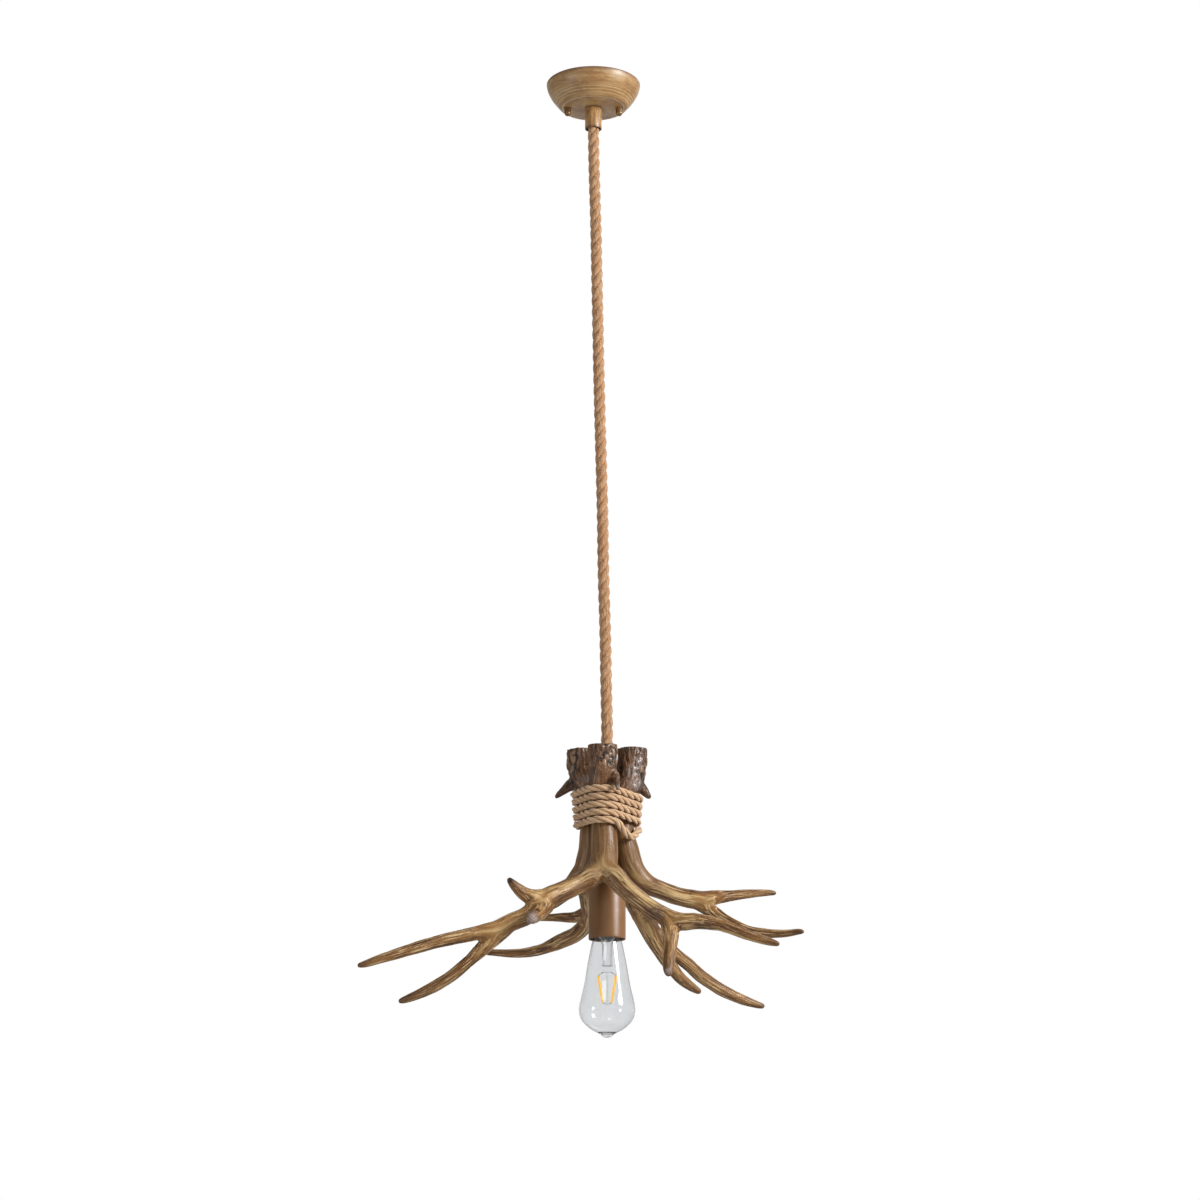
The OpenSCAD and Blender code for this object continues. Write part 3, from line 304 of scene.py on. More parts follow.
leftAntler = {
    "node": "antler_left", "outward": 185, "seed": 37,
    "limbs": [
        [(-29, 16, 2, 16.8), (-28.5, 15.5, -12, 17), (-25.6, 13.9, -32, 16.2), (-19.4, 11.5, -44.5, 14.6),
         (-18.3, 11, -56, 14.2), (-17, 10.5, -84, 13.4), (-17, 10.5, -98, 14.2), (-18, 13, -116, 14.8),
         (-23, 19, -136, 14.2), (-25, 28, -152, 13)],
        [(-23, 20, -138, 12.8), (-22, 40, -157, 11.4), (-20, 66, -174, 9.8), (-24, 90, -186, 9.2),
         (-35, 106, -196, 9), (-53, 118, -203, 8.6), (-73, 126, -210.5, 6.7), (-92, 130, -214.5, 5.4),
         (-111, 132, -215.5, 4.8), (-132, 132, -214.5, 3.6), (-140, 132, -215, 2.5),
         (-141.5, 132, -215, 1.6)],
        [(-22, 72, -176, 8), (-37, 84, -180.5, 6.2), (-54, 92, -179.5, 5), (-75, 100, -178.8, 3.5),
         (-86, 104, -179.5, 2)],
        [(-20, 17, -128, 12.6), (-39, 27, -152, 10.6), (-58, 40, -166, 8.8), (-77, 54, -175, 7.5),
         (-100, 70, -185, 6.2), (-124, 84, -197, 4.8), (-138, 91, -203.5, 3), (-140, 92, -204.4, 1.8)],
        [(-33, 16, -33, 9), (-44, 16, -40, 6), (-54, 16, -48.5, 3.4), (-58, 16, -52, 2.2),
         (-59, 16, -53, 1.4)]],
    "marks": [[(-24, -2, -34, 7)], [], []],
}
antlers = {"antlerFront": frontAntler, "antlerRight": rightAntler, "antlerLeft": leftAntler}

skin = {
    "limbStep": 2.5, "voxel": 1.05, "relax": 3, "forkFrom": 0.2, "forkTo": 0.7, "filletSteps": 26,
    "grainStep": 2.0, "blend": 2.0, "tipLength": 55, "tipRadius": 3.5, "calmFrom": 70, "calmOver": 110,
    "calmLeast": 0.35, "grow": 0.35, "swell": 0.5, "grooveDepth": 0.5, "grooveWidth": 0.25, "fineDepth": 0.2,
    "fineWidth": 0.2, "knobLow": -50, "knobHigh": -22, "knobSize": 5.6, "knobDepth": 2.2,
    "smallKnobSize": 3.4, "smallKnobDepth": 1.1, "crustLow": -62, "crustHigh": -46, "crustDepth": 0.9,
    "barkDepth": 1.3, "barkWidth": 0.16, "sawnFrom": -4,
}
# How closely each pattern is packed across, aside and along, and how far its place is moved
patterns = {
    "grooves": ((0.42, 0.42, 0.016), 0), "fine": ((0.95, 0.95, 0.03), 5), "swell": ((0.05, 0.05, 0.05), 9),
    "patches": ((0.07, 0.07, 0.07), 3), "crust": ((0.24, 0.24, 0.07), 7), "bark": ((0.5, 0.5, 0.05), 13),
}


def roundLimb(name, points):
    line, _ = evenLine(points, skin["limbStep"])
    return sweptTube(name, (line[:, :3] + lampPlace) * mm, line[:, 3])


def applied(piece, kind, **settings):
    step = piece.modifiers.new(kind, kind)
    for name, value in settings.items():
        setattr(step, name, value)
    bpy.context.view_layer.objects.active = piece
    bpy.ops.object.modifier_apply(modifier=step.name)


def placesOf(mesh):
    places = np.empty(len(mesh.vertices) * 3)
    mesh.vertices.foreach_get("co", places)
    return places.reshape(-1, 3) / mm - lampPlace


def limited(values):
    return np.clip(values, 0, 1)


def rising(values, low, high):
    return limited((values - low) / (high - low))


def valley(values, width):
    return limited(1 - np.abs(values) / width)


# Where each point of a skin lies on its limb: across the grain, and along it from the sawn top.
# It also tells how near a limb's tip the point is, and how deep in a fork.
def grainOf(places, limbs, batch=4000):
    count = len(places)
    lines, marks, sides, others = [], [], [], []
    for i, points in enumerate(limbs):
        line, run = evenLine(points, skin["grainStep"])
        start, side = 0.0, (1.0, 0.0, 0.0)
        if i:
            gaps = [np.linalg.norm(old[:, :3] - line[0, :3], axis=1) for old in lines]
            nearest = min(range(len(gaps)), key=lambda k: gaps[k].min())
            at = int(gaps[nearest].argmin())
            start, side = marks[nearest][at], sides[nearest][at]
        sideways, across = carriedSides(line, side)
        lines.append(line)
        marks.append(run + start)
        sides.append(sideways)
        others.append(across)
    gaps = np.zeros((len(lines), count))
    found = []
    for i, line in enumerate(lines):
        at = np.zeros(count, int)
        for first in range(0, count, batch):
            part = places[first:first + batch]
            apart = ((part[:, None, :] - line[None, :, :3]) ** 2).sum(2)
            at[first:first + batch] = apart.argmin(1)
        away = places - line[at, :3]
        gaps[i] = np.linalg.norm(away, axis=1) - line[at, 3]
        found.append((at, away))
    least = gaps.min(0)
    grain, shares, tipward = np.zeros((count, 3)), np.zeros(count), np.zeros(count)
    for i, line in enumerate(lines):
        at, away = found[i]
        weight = np.exp(-(gaps[i] - least) / skin["blend"])
        here = np.stack([(away * sides[i][at]).sum(1), (away * others[i][at]).sum(1), marks[i][at]], 1)
        grain += here * weight[:, None]
        if line[-1, 3] < skin["tipRadius"]:
            tipward += weight * limited(1 - (marks[i][-1] - marks[i][at]) / skin["tipLength"])
        shares += weight
    return grain / shares[:, None], tipward / shares, limited(shares - 1)


def lumpy(places, pattern, seed):
    (across, aside, along), moved = patterns[pattern]
    moved += seed
    return np.array([noise.noise(Vector((x * across + moved, y * aside, z * along))) for x, y, z in places])


# Rounded knobs in cells that are longer along the shaft
def pearls(places, size, seed):
    near = np.array([noise.voronoi(Vector((x / size + seed, y / size, z / size / 1.7)))[0][0]
                     for x, y, z in places])
    return np.sqrt(limited(1 - (near / 0.62) ** 2))


def marked(places, spots):
    share = np.zeros(len(places))
    for x, y, z, r in spots:
        share = np.maximum(share, 1.4 * (1 - np.linalg.norm(places - (x, y, z), axis=1) / r))
    return limited(share)


def joinedLimbs(name, limbs):
    parts = [roundLimb(f"{name}Limb{i}", points) for i, points in enumerate(limbs)]
    bpy.ops.object.select_all(action="DESELECT")
    for part in parts:
        part.select_set(True)
    bpy.context.view_layer.objects.active = parts[0]
    bpy.ops.object.join()
    antler = bpy.context.object
    antler.name = name
    applied(antler, "REMESH", mode="VOXEL", voxel_size=skin["voxel"] * mm, use_smooth_shade=True)
    applied(antler, "SMOOTH", factor=0.5, iterations=skin["relax"])
    antler.data.name = name
    return antler


def softenForks(antler, fork):
    crotch = antler.vertex_groups.new(name="crotch")
    tenths = np.round(rising(fork, skin["forkFrom"], skin["forkTo"]) * 10)
    for tenth in range(1, 11):
        crotch.add([int(i) for i in np.nonzero(tenths == tenth)[0]], tenth / 10, "REPLACE")
    applied(antler, "SMOOTH", factor=0.5, iterations=skin["filletSteps"], vertex_group="crotch")
    antler.vertex_groups.clear()


def makeAntler(name, shape):
    antler = joinedLimbs(name, shape["limbs"])
    grain, tipward, fork = grainOf(placesOf(antler.data), shape["limbs"])
    softenForks(antler, fork)
    mesh = antler.data
    places = placesOf(mesh)
    outward = np.array([vertex.normal[:] for vertex in mesh.vertices])
    seed, shaft = shape["seed"], np.array(shape["limbs"][0][::-1], float)
    height = places[:, 2]
    middle = [np.interp(height, shaft[:, 2], shaft[:, k]) for k in (0, 1)]
    turn = np.arctan2(places[:, 1] - middle[1], places[:, 0] - middle[0]) - math.radians(shape["outward"])
    facing = limited(0.05 + 1.1 * np.cos(turn))
    zone = rising(height, skin["knobLow"], skin["knobHigh"])
    burr = rising(height, skin["crustLow"], skin["crustHigh"])
    pearly = limited(limited(lumpy(places, "patches", seed) * 3 + 0.6) * zone * facing * 1.6)
    knobs = pearls(places, skin["knobSize"], seed) * pearly
    smallKnobs = pearls(places, skin["smallKnobSize"], seed + 2) * limited(zone * facing - pearly)
    sawn = limited((outward[:, 2] - 0.6) * 3) * (height > skin["sawnFrom"])
    calm = np.clip((grain[:, 2] - skin["calmFrom"]) / skin["calmOver"], skin["calmLeast"], 1)
    calm *= (1 - 0.8 * tipward) * (1 - 0.85 * fork)
    lift = skin["grow"] + skin["swell"] * lumpy(places, "swell", seed) * (1 - tipward)
    lift -= skin["grooveDepth"] * valley(lumpy(grain, "grooves", seed), skin["grooveWidth"]) * calm
    lift -= skin["fineDepth"] * valley(lumpy(grain, "fine", seed), skin["fineWidth"]) * calm
    lift += skin["knobDepth"] * (knobs - 0.45 * pearly) + skin["smallKnobDepth"] * smallKnobs
    lift += skin["crustDepth"] * lumpy(places, "crust", seed) * zone
    lift -= skin["barkDepth"] * valley(lumpy(places, "bark", seed), skin["barkWidth"]) * zone
    lift *= 1 - 0.9 * sawn
    placed = (places + outward * lift[:, None] + lampPlace) * mm
    mesh.vertices.foreach_set("co", placed.ravel())
    mesh.update()
    vectorNote(antler, "grain", grain * mm)
    vectorNote(antler, "age", np.stack([tipward, burr, calm], 1))
    # relief notes the knobs, the hollows between them and the sawn face; the finish paints a highlight on the
    # knobs and shade in the hollows.
    vectorNote(antler, "relief", np.stack([knobs, limited(pearly - knobs), sawn], 1))
    vectorNote(antler, "marks", np.stack([marked(places, spots) for spots in shape["marks"]], 1))
    print(name, len(mesh.polygons), "faces")
    return fitted(antler, "lamp", shape["node"])


antlerPieces = [makeAntler(name, shape) for name, shape in antlers.items()]

# Binding wound tight round the three shafts, with a tail that dips below the last turn
winding = {
    "rope": {"diameter": 8.1, "step": 1.3, "sides": 14, "strands": 3, "lay": 40, "offset": 2.05,
             "strandRadius": 2.2, "yarnLay": -30, "yarns": 6, "yarnDepth": 0.08, "fibreShift": 3.7,
             "firstSide": (0, 0, 1), "turned": 0},
    "pitch": 8.9, "start": 104, "angle": 1620, "step": 15, "top": -51, "slack": 0.25,
    "tailAngle": 92, "tailSteps": 12, "tailDrop": 14, "tailBulge": 2,
    "shafts": [np.array(antlers[name]["limbs"][0][::-1], float) for name in antlers],
}


# The farthest that a rope round the shafts reaches in one direction, at one height
def girth(height, c, s, half):
    held = [np.array([np.interp(height, shaft[:, 2], shaft[:, k]) for k in (0, 1, 3)])
            for shaft in winding["shafts"]]
    far = 0
    for i, here in enumerate(held):
        there = held[(i + 1) % len(held)]
        for share in np.arange(0, 1.01, 0.1):
            x, y, r = here + (there - here) * share
            r += half + winding["slack"]
            along, aside = x * c + y * s, x * s - y * c
            if abs(aside) < r:
                far = max(far, along + math.sqrt(r * r - aside * aside))
    return far


def windingPlace(turn):
    w = winding
    tail = min(1, max(0, (turn - w["start"] - w["angle"]) / w["tailAngle"]))
    z = w["top"] - w["pitch"] * (turn - 180) / 360 - w["tailDrop"] * math.sin(math.pi * tail) ** 1.5
    half = w["rope"]["diameter"] / 2
    c, s = math.cos(math.radians(turn)), math.sin(math.radians(turn))
    far = max(girth(z - half, c, s, half), girth(z + half, c, s, half))
    far += w["tailBulge"] * math.sin(math.pi * tail)
    return np.array([far * c, far * s, z])


turns = [winding["start"] + a for a in range(0, winding["angle"], winding["step"])]
turns += [winding["start"] + winding["angle"] + winding["tailAngle"] * k / winding["tailSteps"]
          for k in range(winding["tailSteps"] + 1)]
woundLine = [windingPlace(turn) + lampPlace for turn in turns]


# Both ends run on straight and level by one diameter
def runOut(end, near):
    away = (end - near) * (1, 1, 0)
    return end + away / np.linalg.norm(away) * winding["rope"]["diameter"]


woundLine = [runOut(*woundLine[:2])] + woundLine + [runOut(*woundLine[:-3:-1])]
binding, _ = laidRope("binding", woundLine, winding["rope"])
fitted(binding, "lamp", "rope_binding")
print("binding wound")


# Turned pieces: an outline is extruded point by point and spun round its axis
def turned(name, outline, body, node, steps=96, middle=(0, 0, 0), closed=True):
    bpy.ops.object.select_all(action="DESELECT")
    bpy.ops.mesh.primitive_plane_add(size=mm, location=(0, 0, 0))
    piece = named(name)
    bpy.ops.object.mode_set(mode="EDIT")
    bpy.ops.mesh.select_all(action="SELECT")
    bpy.ops.mesh.merge(type="CENTER")
    bpy.ops.transform.translate(value=(outline[0][0] * mm, 0, outline[0][1] * mm))
    ends = outline[1:] + outline[:1] if closed else outline[1:]
    for here, there in zip(outline, ends):
        bpy.ops.mesh.extrude_vertices_move(TRANSFORM_OT_translate={
            "value": ((there[0] - here[0]) * mm, 0, (there[1] - here[1]) * mm)})
    bpy.ops.mesh.select_all(action="SELECT")
    bpy.ops.mesh.remove_doubles(threshold=sameSpot)
    bpy.ops.mesh.spin(steps=steps, angle=2 * math.pi, center=(0, 0, 0), axis=(0, 0, 1))
    bpy.ops.mesh.select_all(action="SELECT")
    bpy.ops.mesh.remove_doubles(threshold=sameSpot)
    bpy.ops.mesh.normals_make_consistent(inside=False)
    bpy.ops.transform.translate(value=tuple(m * mm for m in middle))
    bpy.ops.object.mode_set(mode="OBJECT")
    bpy.ops.object.shade_smooth_by_angle(angle=math.radians(40))
    return fitted(piece, body, node)


# An outline with its sharp corners rounded
def eased(outline, radius, points=3):
    soft = []
    for i in range(len(outline)):
        before, here, after = [np.array(outline[k % len(outline)], float) for k in (i - 1, i, i + 1)]
        a, b = before - here, after - here
        la, lb = np.linalg.norm(a), np.linalg.norm(b)
        r = min(radius, la * 0.45, lb * 0.45)
        start, end = here + a / la * r, here + b / lb * r
        for u in np.linspace(0, 1, points):
            soft.append(tuple((1 - u) ** 2 * start + 2 * u * (1 - u) * here + u * u * end))
    return soft


canopyShape = {
    "rim": 56.5, "base": 39, "height": 31, "wall": 1.2, "hole": 9, "bulge": 1.8, "rings": 58, "edge": 1.6,
    "grooves": [0.66, 0.75, 0.84], "grooveDepth": 0.45, "grooveWidth": 0.75, "flat": 2.6, "lip": 36.8,
    "line": 3.8, "lineWidth": 0.4, "lineDepth": 0.25, "insideDepths": (26, 22, 18, 14, 10, 6, 2.5),
}


def canopySide(depth):
    c = canopyShape
    return c["rim"] - (c["rim"] - c["base"]) * (depth / c["height"]) ** c["bulge"]


def canopyOutline():
    c = canopyShape
    base, height, line = c["base"], c["height"], c["base"] - c["line"]
    outside = []
    for i in range(1, c["rings"]):
        depth = height * i / c["rings"]
        cut = max(max(0, 1 - abs(depth - height * groove) / c["grooveWidth"]) for groove in c["grooves"])
        low = max(0, depth - height + c["edge"])
        high = max(0, c["edge"] - depth)
        radius = canopySide(depth) - c["grooveDepth"] * cut - low ** 2 * 0.5 - high ** 2 * 0.35
        outside.append((radius, -depth))
    underside = [(base - c["flat"], -height), (line + c["lineWidth"], -height),
                 (line, -height + c["lineDepth"]), (line - c["lineWidth"], -height), (c["hole"], -height)]
    inside = [(c["hole"], -height + c["wall"]), (base - 3, -height + c["wall"])]
    inside += [(canopySide(depth) - c["wall"], -depth) for depth in c["insideDepths"]]
    return outside + underside + inside + [(c["rim"] - 1.7, -0.2), (c["rim"] - 1.3, 0)]


canopyShell = turned("canopyShell", canopyOutline(), "canopy", "canopy", steps=144)

capNut = {"radius": 4.5, "height": 10, "spacing": 62, "flange": 1.4, "neck": 1.8, "waist": 0.5, "edge": 0.3}


def capNutOutline():
    n = capNut
    r, h, body = n["radius"], n["height"], n["radius"] - n["waist"]
    line = [(0, 0), (r - n["edge"], 0), (r, -n["edge"]), (r, -n["flange"]), (body, -n["neck"])]
    dome = [(body * math.cos(a), -h + r - r * math.sin(a)) for a in np.linspace(0.2, 1.45, 7)]
    return line + [(body, -h + r)] + dome + [(0, -h)]


capNuts = [turned(name, capNutOutline(), "canopy", "cap_nuts", steps=40, closed=False,
                  middle=(side * capNut["spacing"] / 2, 0, -canopyShape["height"]))
           for name, side in (("capNutLeft", -1), ("capNutRight", 1))]

stemShape = {"radius": 10, "mouth": 8.8, "neck": 7.2, "low": -58, "step": -37, "top": -31, "nutTop": -22,
             "edge": 0.5}


def stemOutline():
    m = stemShape
    outside = [(m["radius"], m["top"]), (m["radius"], m["low"])]
    bore = [(m["mouth"], m["low"]), (m["mouth"], m["step"]), (m["neck"], m["step"]), (m["neck"], m["nutTop"])]
    return eased(outside + bore + [(m["mouth"], m["nutTop"]), (m["mouth"], m["top"])], m["edge"])


stem = turned("stem", stemOutline(), "canopy", "stem_tube", steps=72)
print("canopy turned")

# Lampholder and bulb, in the lamp's own frame
cover = {"radius": 21, "top": -154, "low": -219, "wall": 1, "hole": 5.2}


def coverOutline():
    c = cover
    r, top, low, wall = c["radius"], c["top"], c["low"], c["wall"]
    return [(c["hole"], top), (r - 2, top), (r - 0.8, top - 0.3), (r - 0.3, top - 0.8), (r, top - 2),
            (r, low + 2.2), (r, low + 0.4), (r - 0.2, low), (r - 0.8, low), (r - wall, low + 0.3),
            (r - wall, top - 2), (r - 2.2, top - 1.2), (c["hole"], top - 1.2)]


socketCover = turned("socketCover", coverOutline(), "lamp", "socket_cover", steps=128,
                     middle=lampPlace)

bulb = {"wall": 0.8, "top": -213.5, "nub": 111.8, "outline": [
    (12.6, 0), (15, 3), (16.9, 8), (19, 18), (21.3, 29), (23, 38), (26.3, 57), (30.1, 73), (32, 84),
    (29.8, 95), (22, 104), (14, 109.2), (8.6, 111.8), (6.4, 113.8), (4, 115.6), (0.01, 116.4)]}


def bulbOutline():
    outer = smoothLine(bulb["outline"], 4)
    ahead = np.gradient(outer, axis=0)
    ahead /= np.linalg.norm(ahead, axis=1)[:, None]
    inner = outer + bulb["wall"] * np.stack([-ahead[:, 1], ahead[:, 0]], 1)
    inner = [p for p, q in zip(inner, outer) if q[1] < bulb["nub"]]
    line = [(r, -d) for r, d in outer[:-1]] + [(0, -outer[-1][1]), (0, bulb["wall"] - bulb["nub"])]
    return line + [(r, -d) for r, d in reversed(inner)]


bulbGlass = turned("bulbGlass", bulbOutline(), "bulb", "bulb_glass",
                   middle=lampPlace + np.array([0, 0, bulb["top"]]))

filaments = {"radius": 1.45, "tops": 10, "feet": 5, "top": -260.3, "long": 30, "edge": 0.5}


def makeFilament(name, side):
    f = filaments
    top = np.array([side * f["tops"], 0, f["top"]])
    foot = np.array([side * f["feet"], 0, f["top"] - f["long"]])
    lean = Vector(top - foot)
    middle = ((top + foot) / 2 + lampPlace) * mm
    bpy.ops.mesh.primitive_cylinder_add(vertices=20, radius=f["radius"] * mm, depth=lean.length * mm,
                                        location=middle, rotation=lean.to_track_quat("Z", "Y").to_euler())
    piece = named(name)
    bpy.ops.object.transform_apply(location=True, rotation=True, scale=True)
    bpy.ops.object.mode_set(mode="EDIT")
    bpy.ops.mesh.select_all(action="SELECT")
    bpy.ops.mesh.bevel(offset=f["edge"] * mm, segments=3, affect="EDGES")
    bpy.ops.mesh.remove_doubles(threshold=sameSpot)
    bpy.ops.object.mode_set(mode="OBJECT")
    bpy.ops.object.shade_smooth_by_angle(angle=math.radians(40))
    return fitted(piece, "bulb", "bulb_filaments")


filamentPieces = [makeFilament("filamentLeft", -1), makeFilament("filamentRight", 1)]
print("lampholder and bulb turned")


# Finishes: a screen colour of 0 to 255 becomes the linear one that the shader takes
def tint(*screen):
    linear = [((c / 255 + 0.055) / 1.055) ** 2.4 if c > 10 else c / 255 / 12.92 for c in screen]
    return (*linear, 1.0)


class Wire:
    def __init__(self, finish, socket):
        self.finish, self.socket = finish, socket

    def maths(self, operation, *values):
        return self.finish.node("ShaderNodeMath", {"operation": operation}, dict(enumerate(values)))

    def __add__(self, other):
        return self.maths("ADD", self, other)

    def __sub__(self, other):
        return self.maths("SUBTRACT", self, other)

    def __rsub__(self, other):
        return self.maths("SUBTRACT", other, self)

    def __mul__(self, other):
        return self.maths("MULTIPLY", self, other)

    def sized(self):
        return self.maths("ABSOLUTE", self)


class Finish:
    def __init__(self, name, shader="Principled BSDF", kept=bpy.data.materials, **fixed):
        self.owner = kept.new(name)
        self.owner.use_nodes = True
        self.tree = self.owner.node_tree
        self.shader = self.tree.nodes[shader]
        for socket, value in fixed.items():
            self.shader.inputs[socket.replace("_", " ")].default_value = value

    def node(self, kind, settings=None, inputs=None, output=0):
        made = self.tree.nodes.new(kind)
        for name, value in (settings or {}).items():
            if name == "stops":
                ramp = made.color_ramp
                while len(ramp.elements) < len(value):
                    ramp.elements.new(0.5)
                for element, (place, colour) in zip(ramp.elements, value):
                    element.position, element.color = place, colour
            else:
                setattr(made, name, value)
        for name, value in (inputs or {}).items():
            if isinstance(value, Wire):
                self.tree.links.new(value.socket, made.inputs[name])
            else:
                made.inputs[name].default_value = value
        return Wire(self, made.outputs[output])

    def feed(self, socket, wire):
        self.tree.links.new(wire.socket, self.shader.inputs[socket])

    def place(self):
        return self.node("ShaderNodeTexCoord", output="Object")

    def note(self, name):
        return self.node("ShaderNodeAttribute", {"attribute_type": "GEOMETRY", "attribute_name": name},
                         output="Vector")

    def parts(self, wire):
        split = self.node("ShaderNodeSeparateXYZ", inputs={0: wire})
        return [Wire(self, out) for out in split.socket.node.outputs]

    def joined(self, x, y, z):
        return self.node("ShaderNodeCombineXYZ", inputs={0: x, 1: y, 2: z})

    def speckle(self, wire, scale, detail=4, rough=0.55, twist=0):
        return self.node("ShaderNodeTexNoise", {}, {
            "Vector": wire, "Scale": scale, "Detail": detail, "Roughness": rough, "Distortion": twist})

    def span(self, wire, low, high, start=0.0, end=1.0):
        return self.node("ShaderNodeMapRange", {"clamp": True}, {
            "Value": wire, "From Min": low, "From Max": high, "To Min": start, "To Max": end})

    # Each stop is a place and a screen colour
    def shades(self, wire, *stops):
        return self.ramp(wire, [(place, tint(*screen)) for place, *screen in stops])

    def ramp(self, wire, stops):
        return self.node("ShaderNodeValToRGB", {"stops": stops}, {0: wire})

    def mixed(self, share, a, b):
        return self.node("ShaderNodeMix", {"data_type": "RGBA"}, {0: share, 6: a, 7: b}, output=2)

    # Each layer is a pattern, the span of it that shows, its share there and its screen colour
    def layered(self, colour, *layers):
        for wire, low, high, share, *screen in layers:
            colour = self.mixed(self.span(wire, low, high, 0, share), colour, tint(*screen))
        return colour

    def length(self, wire):
        return self.node("ShaderNodeVectorMath", {"operation": "LENGTH"}, {0: wire}, output=1)

    def bump(self, height, depth, strength=1.0):
        self.feed("Normal", self.node("ShaderNodeBump", {}, {
            "Strength": strength, "Distance": depth, "Height": height}))


def juteFinish(name, shade, light, dark, gap):
    f = Finish(name, Roughness=0.9, Specular_IOR_Level=0.2, Sheen_Weight=0.25, Sheen_Roughness=0.6)
    around, along, deep = f.parts(f.note("fibre"))
    hairs = f.speckle(f.joined(around * 9.0, along * 60.0, 0.0), 1.6, 6, 0.65)
    patches = f.speckle(f.place(), 38, 3)
    fuzz = f.speckle(f.place(), 700, 4, 0.7)
    colour = f.shades(hairs, (0.28, *dark), (0.46, *shade), (0.74, *light))
    # The last layer paints shade into the grooves between the strands, darker where deep is lower.
    colour = f.layered(colour, (patches, 0.4, 0.65, 0.3, 176, 124, 84), (fuzz, 0.55, 0.72, 0.45, *light),
                       (fuzz, 0.47, 0.34, 0.6, *dark), (deep, 0.86, 0.66, gap, 92, 56, 34))
    f.feed("Base Color", colour)
    f.bump(hairs * 0.7 + fuzz * 0.5, 0.0006)
    return f.owner


def antlerFinish():
    f = Finish("antler", Specular_IOR_Level=0.35, Coat_Roughness=0.2, Coat_IOR=1.45)
    across, aside, along = f.parts(f.note("grain"))
    tipward, burr, calm = f.parts(f.note("age"))
    knobs, shadedHollows, sawn = f.parts(f.note("relief"))
    pale, scar, violet = f.parts(f.note("marks"))
    place = f.place()
    broad = f.speckle(f.joined(across, aside, along * 0.035), 120, 4, 0.6, 0.3)
    thin = f.speckle(f.joined(across, aside, along * 0.03), 640, 4, 0.7, 0.2)
    clouds = f.speckle(place, 24, 4, 0.6)
    stain = f.speckle(place, 80, 5, 0.65)
    # This speckle paints pale flecks as glints, and it also feeds the bump.
    gritAndPaintedGlints = f.speckle(place, 420, 5, 0.75)
    colour = f.shades(broad, (0.3, 98, 62, 30), (0.44, 134, 92, 48), (0.55, 162, 120, 68),
                      (0.67, 216, 182, 126))
    colour = f.layered(colour, (clouds, 0.5, 0.7, 0.6, 118, 74, 38))
    colour = f.mixed(f.span(thin, 0.54, 0.6, 0, 0.75) * calm, colour, tint(238, 208, 156))
    colour = f.mixed(f.span(thin, 0.47, 0.4, 0, 0.95) * calm, colour, tint(48, 28, 14))
    # The last of these layers is painted shade: the shafts in the middle of the cluster, within 130 mm of the
    # sawn tops along the grain, are darkened, fading out by 220 mm.
    colour = f.layered(colour, (gritAndPaintedGlints, 0.58, 0.72, 0.35, 220, 190, 140), (stain, 0.6, 0.72, 0.6, 76, 46, 26),
                       (along, 0.22, 0.13, 0.65, 98, 66, 38))
    colour = f.mixed(violet * f.span(stain, 0.4, 0.52, 0.15, 0.8), colour, tint(72, 44, 38))
    streak = f.speckle(f.joined(across, aside, along * 0.12), 520, 5, 0.7, 0.6)
    wide = f.speckle(f.joined(across, aside, along * 0.25), 95, 3, 0.5, 0.4)
    crust = f.shades(streak, (0.36, 22, 12, 7), (0.45, 66, 40, 23), (0.55, 108, 70, 42),
                     (0.64, 176, 134, 98))
    # The last two layers are painted light: a paler painted highlight on the knob tops, and painted shade in
    # the hollows between the knobs.
    crust = f.layered(crust, (wide, 0.5, 0.62, 0.55, 138, 90, 44), (wide, 0.47, 0.38, 0.6, 44, 27, 17),
                      (knobs, 0.45, 0.9, 0.45, 196, 160, 126), (shadedHollows, 0.3, 0.7, 0.9, 16, 9, 5))
    colour = f.mixed(burr * 0.92, colour, crust)
    colour = f.layered(colour, (tipward, 0.6, 1.0, 0.65, 74, 46, 26))
    colour = f.mixed(pale * f.span(streak, 0.42, 0.54, 0.1, 0.9), colour, tint(166, 152, 146))
    colour = f.mixed(scar * 0.9, colour, tint(26, 16, 10))
    sawnFace = f.shades(f.speckle(place, 260, 3), (0.3, 60, 38, 22), (0.7, 130, 98, 66))
    f.feed("Base Color", f.mixed(sawn * 0.85, colour, sawnFace))
    f.feed("Roughness", f.span(thin, 0.3, 0.7, 0.52, 0.38) - burr * 0.1)
    f.feed("Coat Weight", burr * (1 - sawn) * (knobs * 0.5 + 0.3) + 0.15)
    f.bump(broad * 0.5 + thin * calm * 0.7 + gritAndPaintedGlints * burr + streak * burr, 0.0012)
    return f.owner


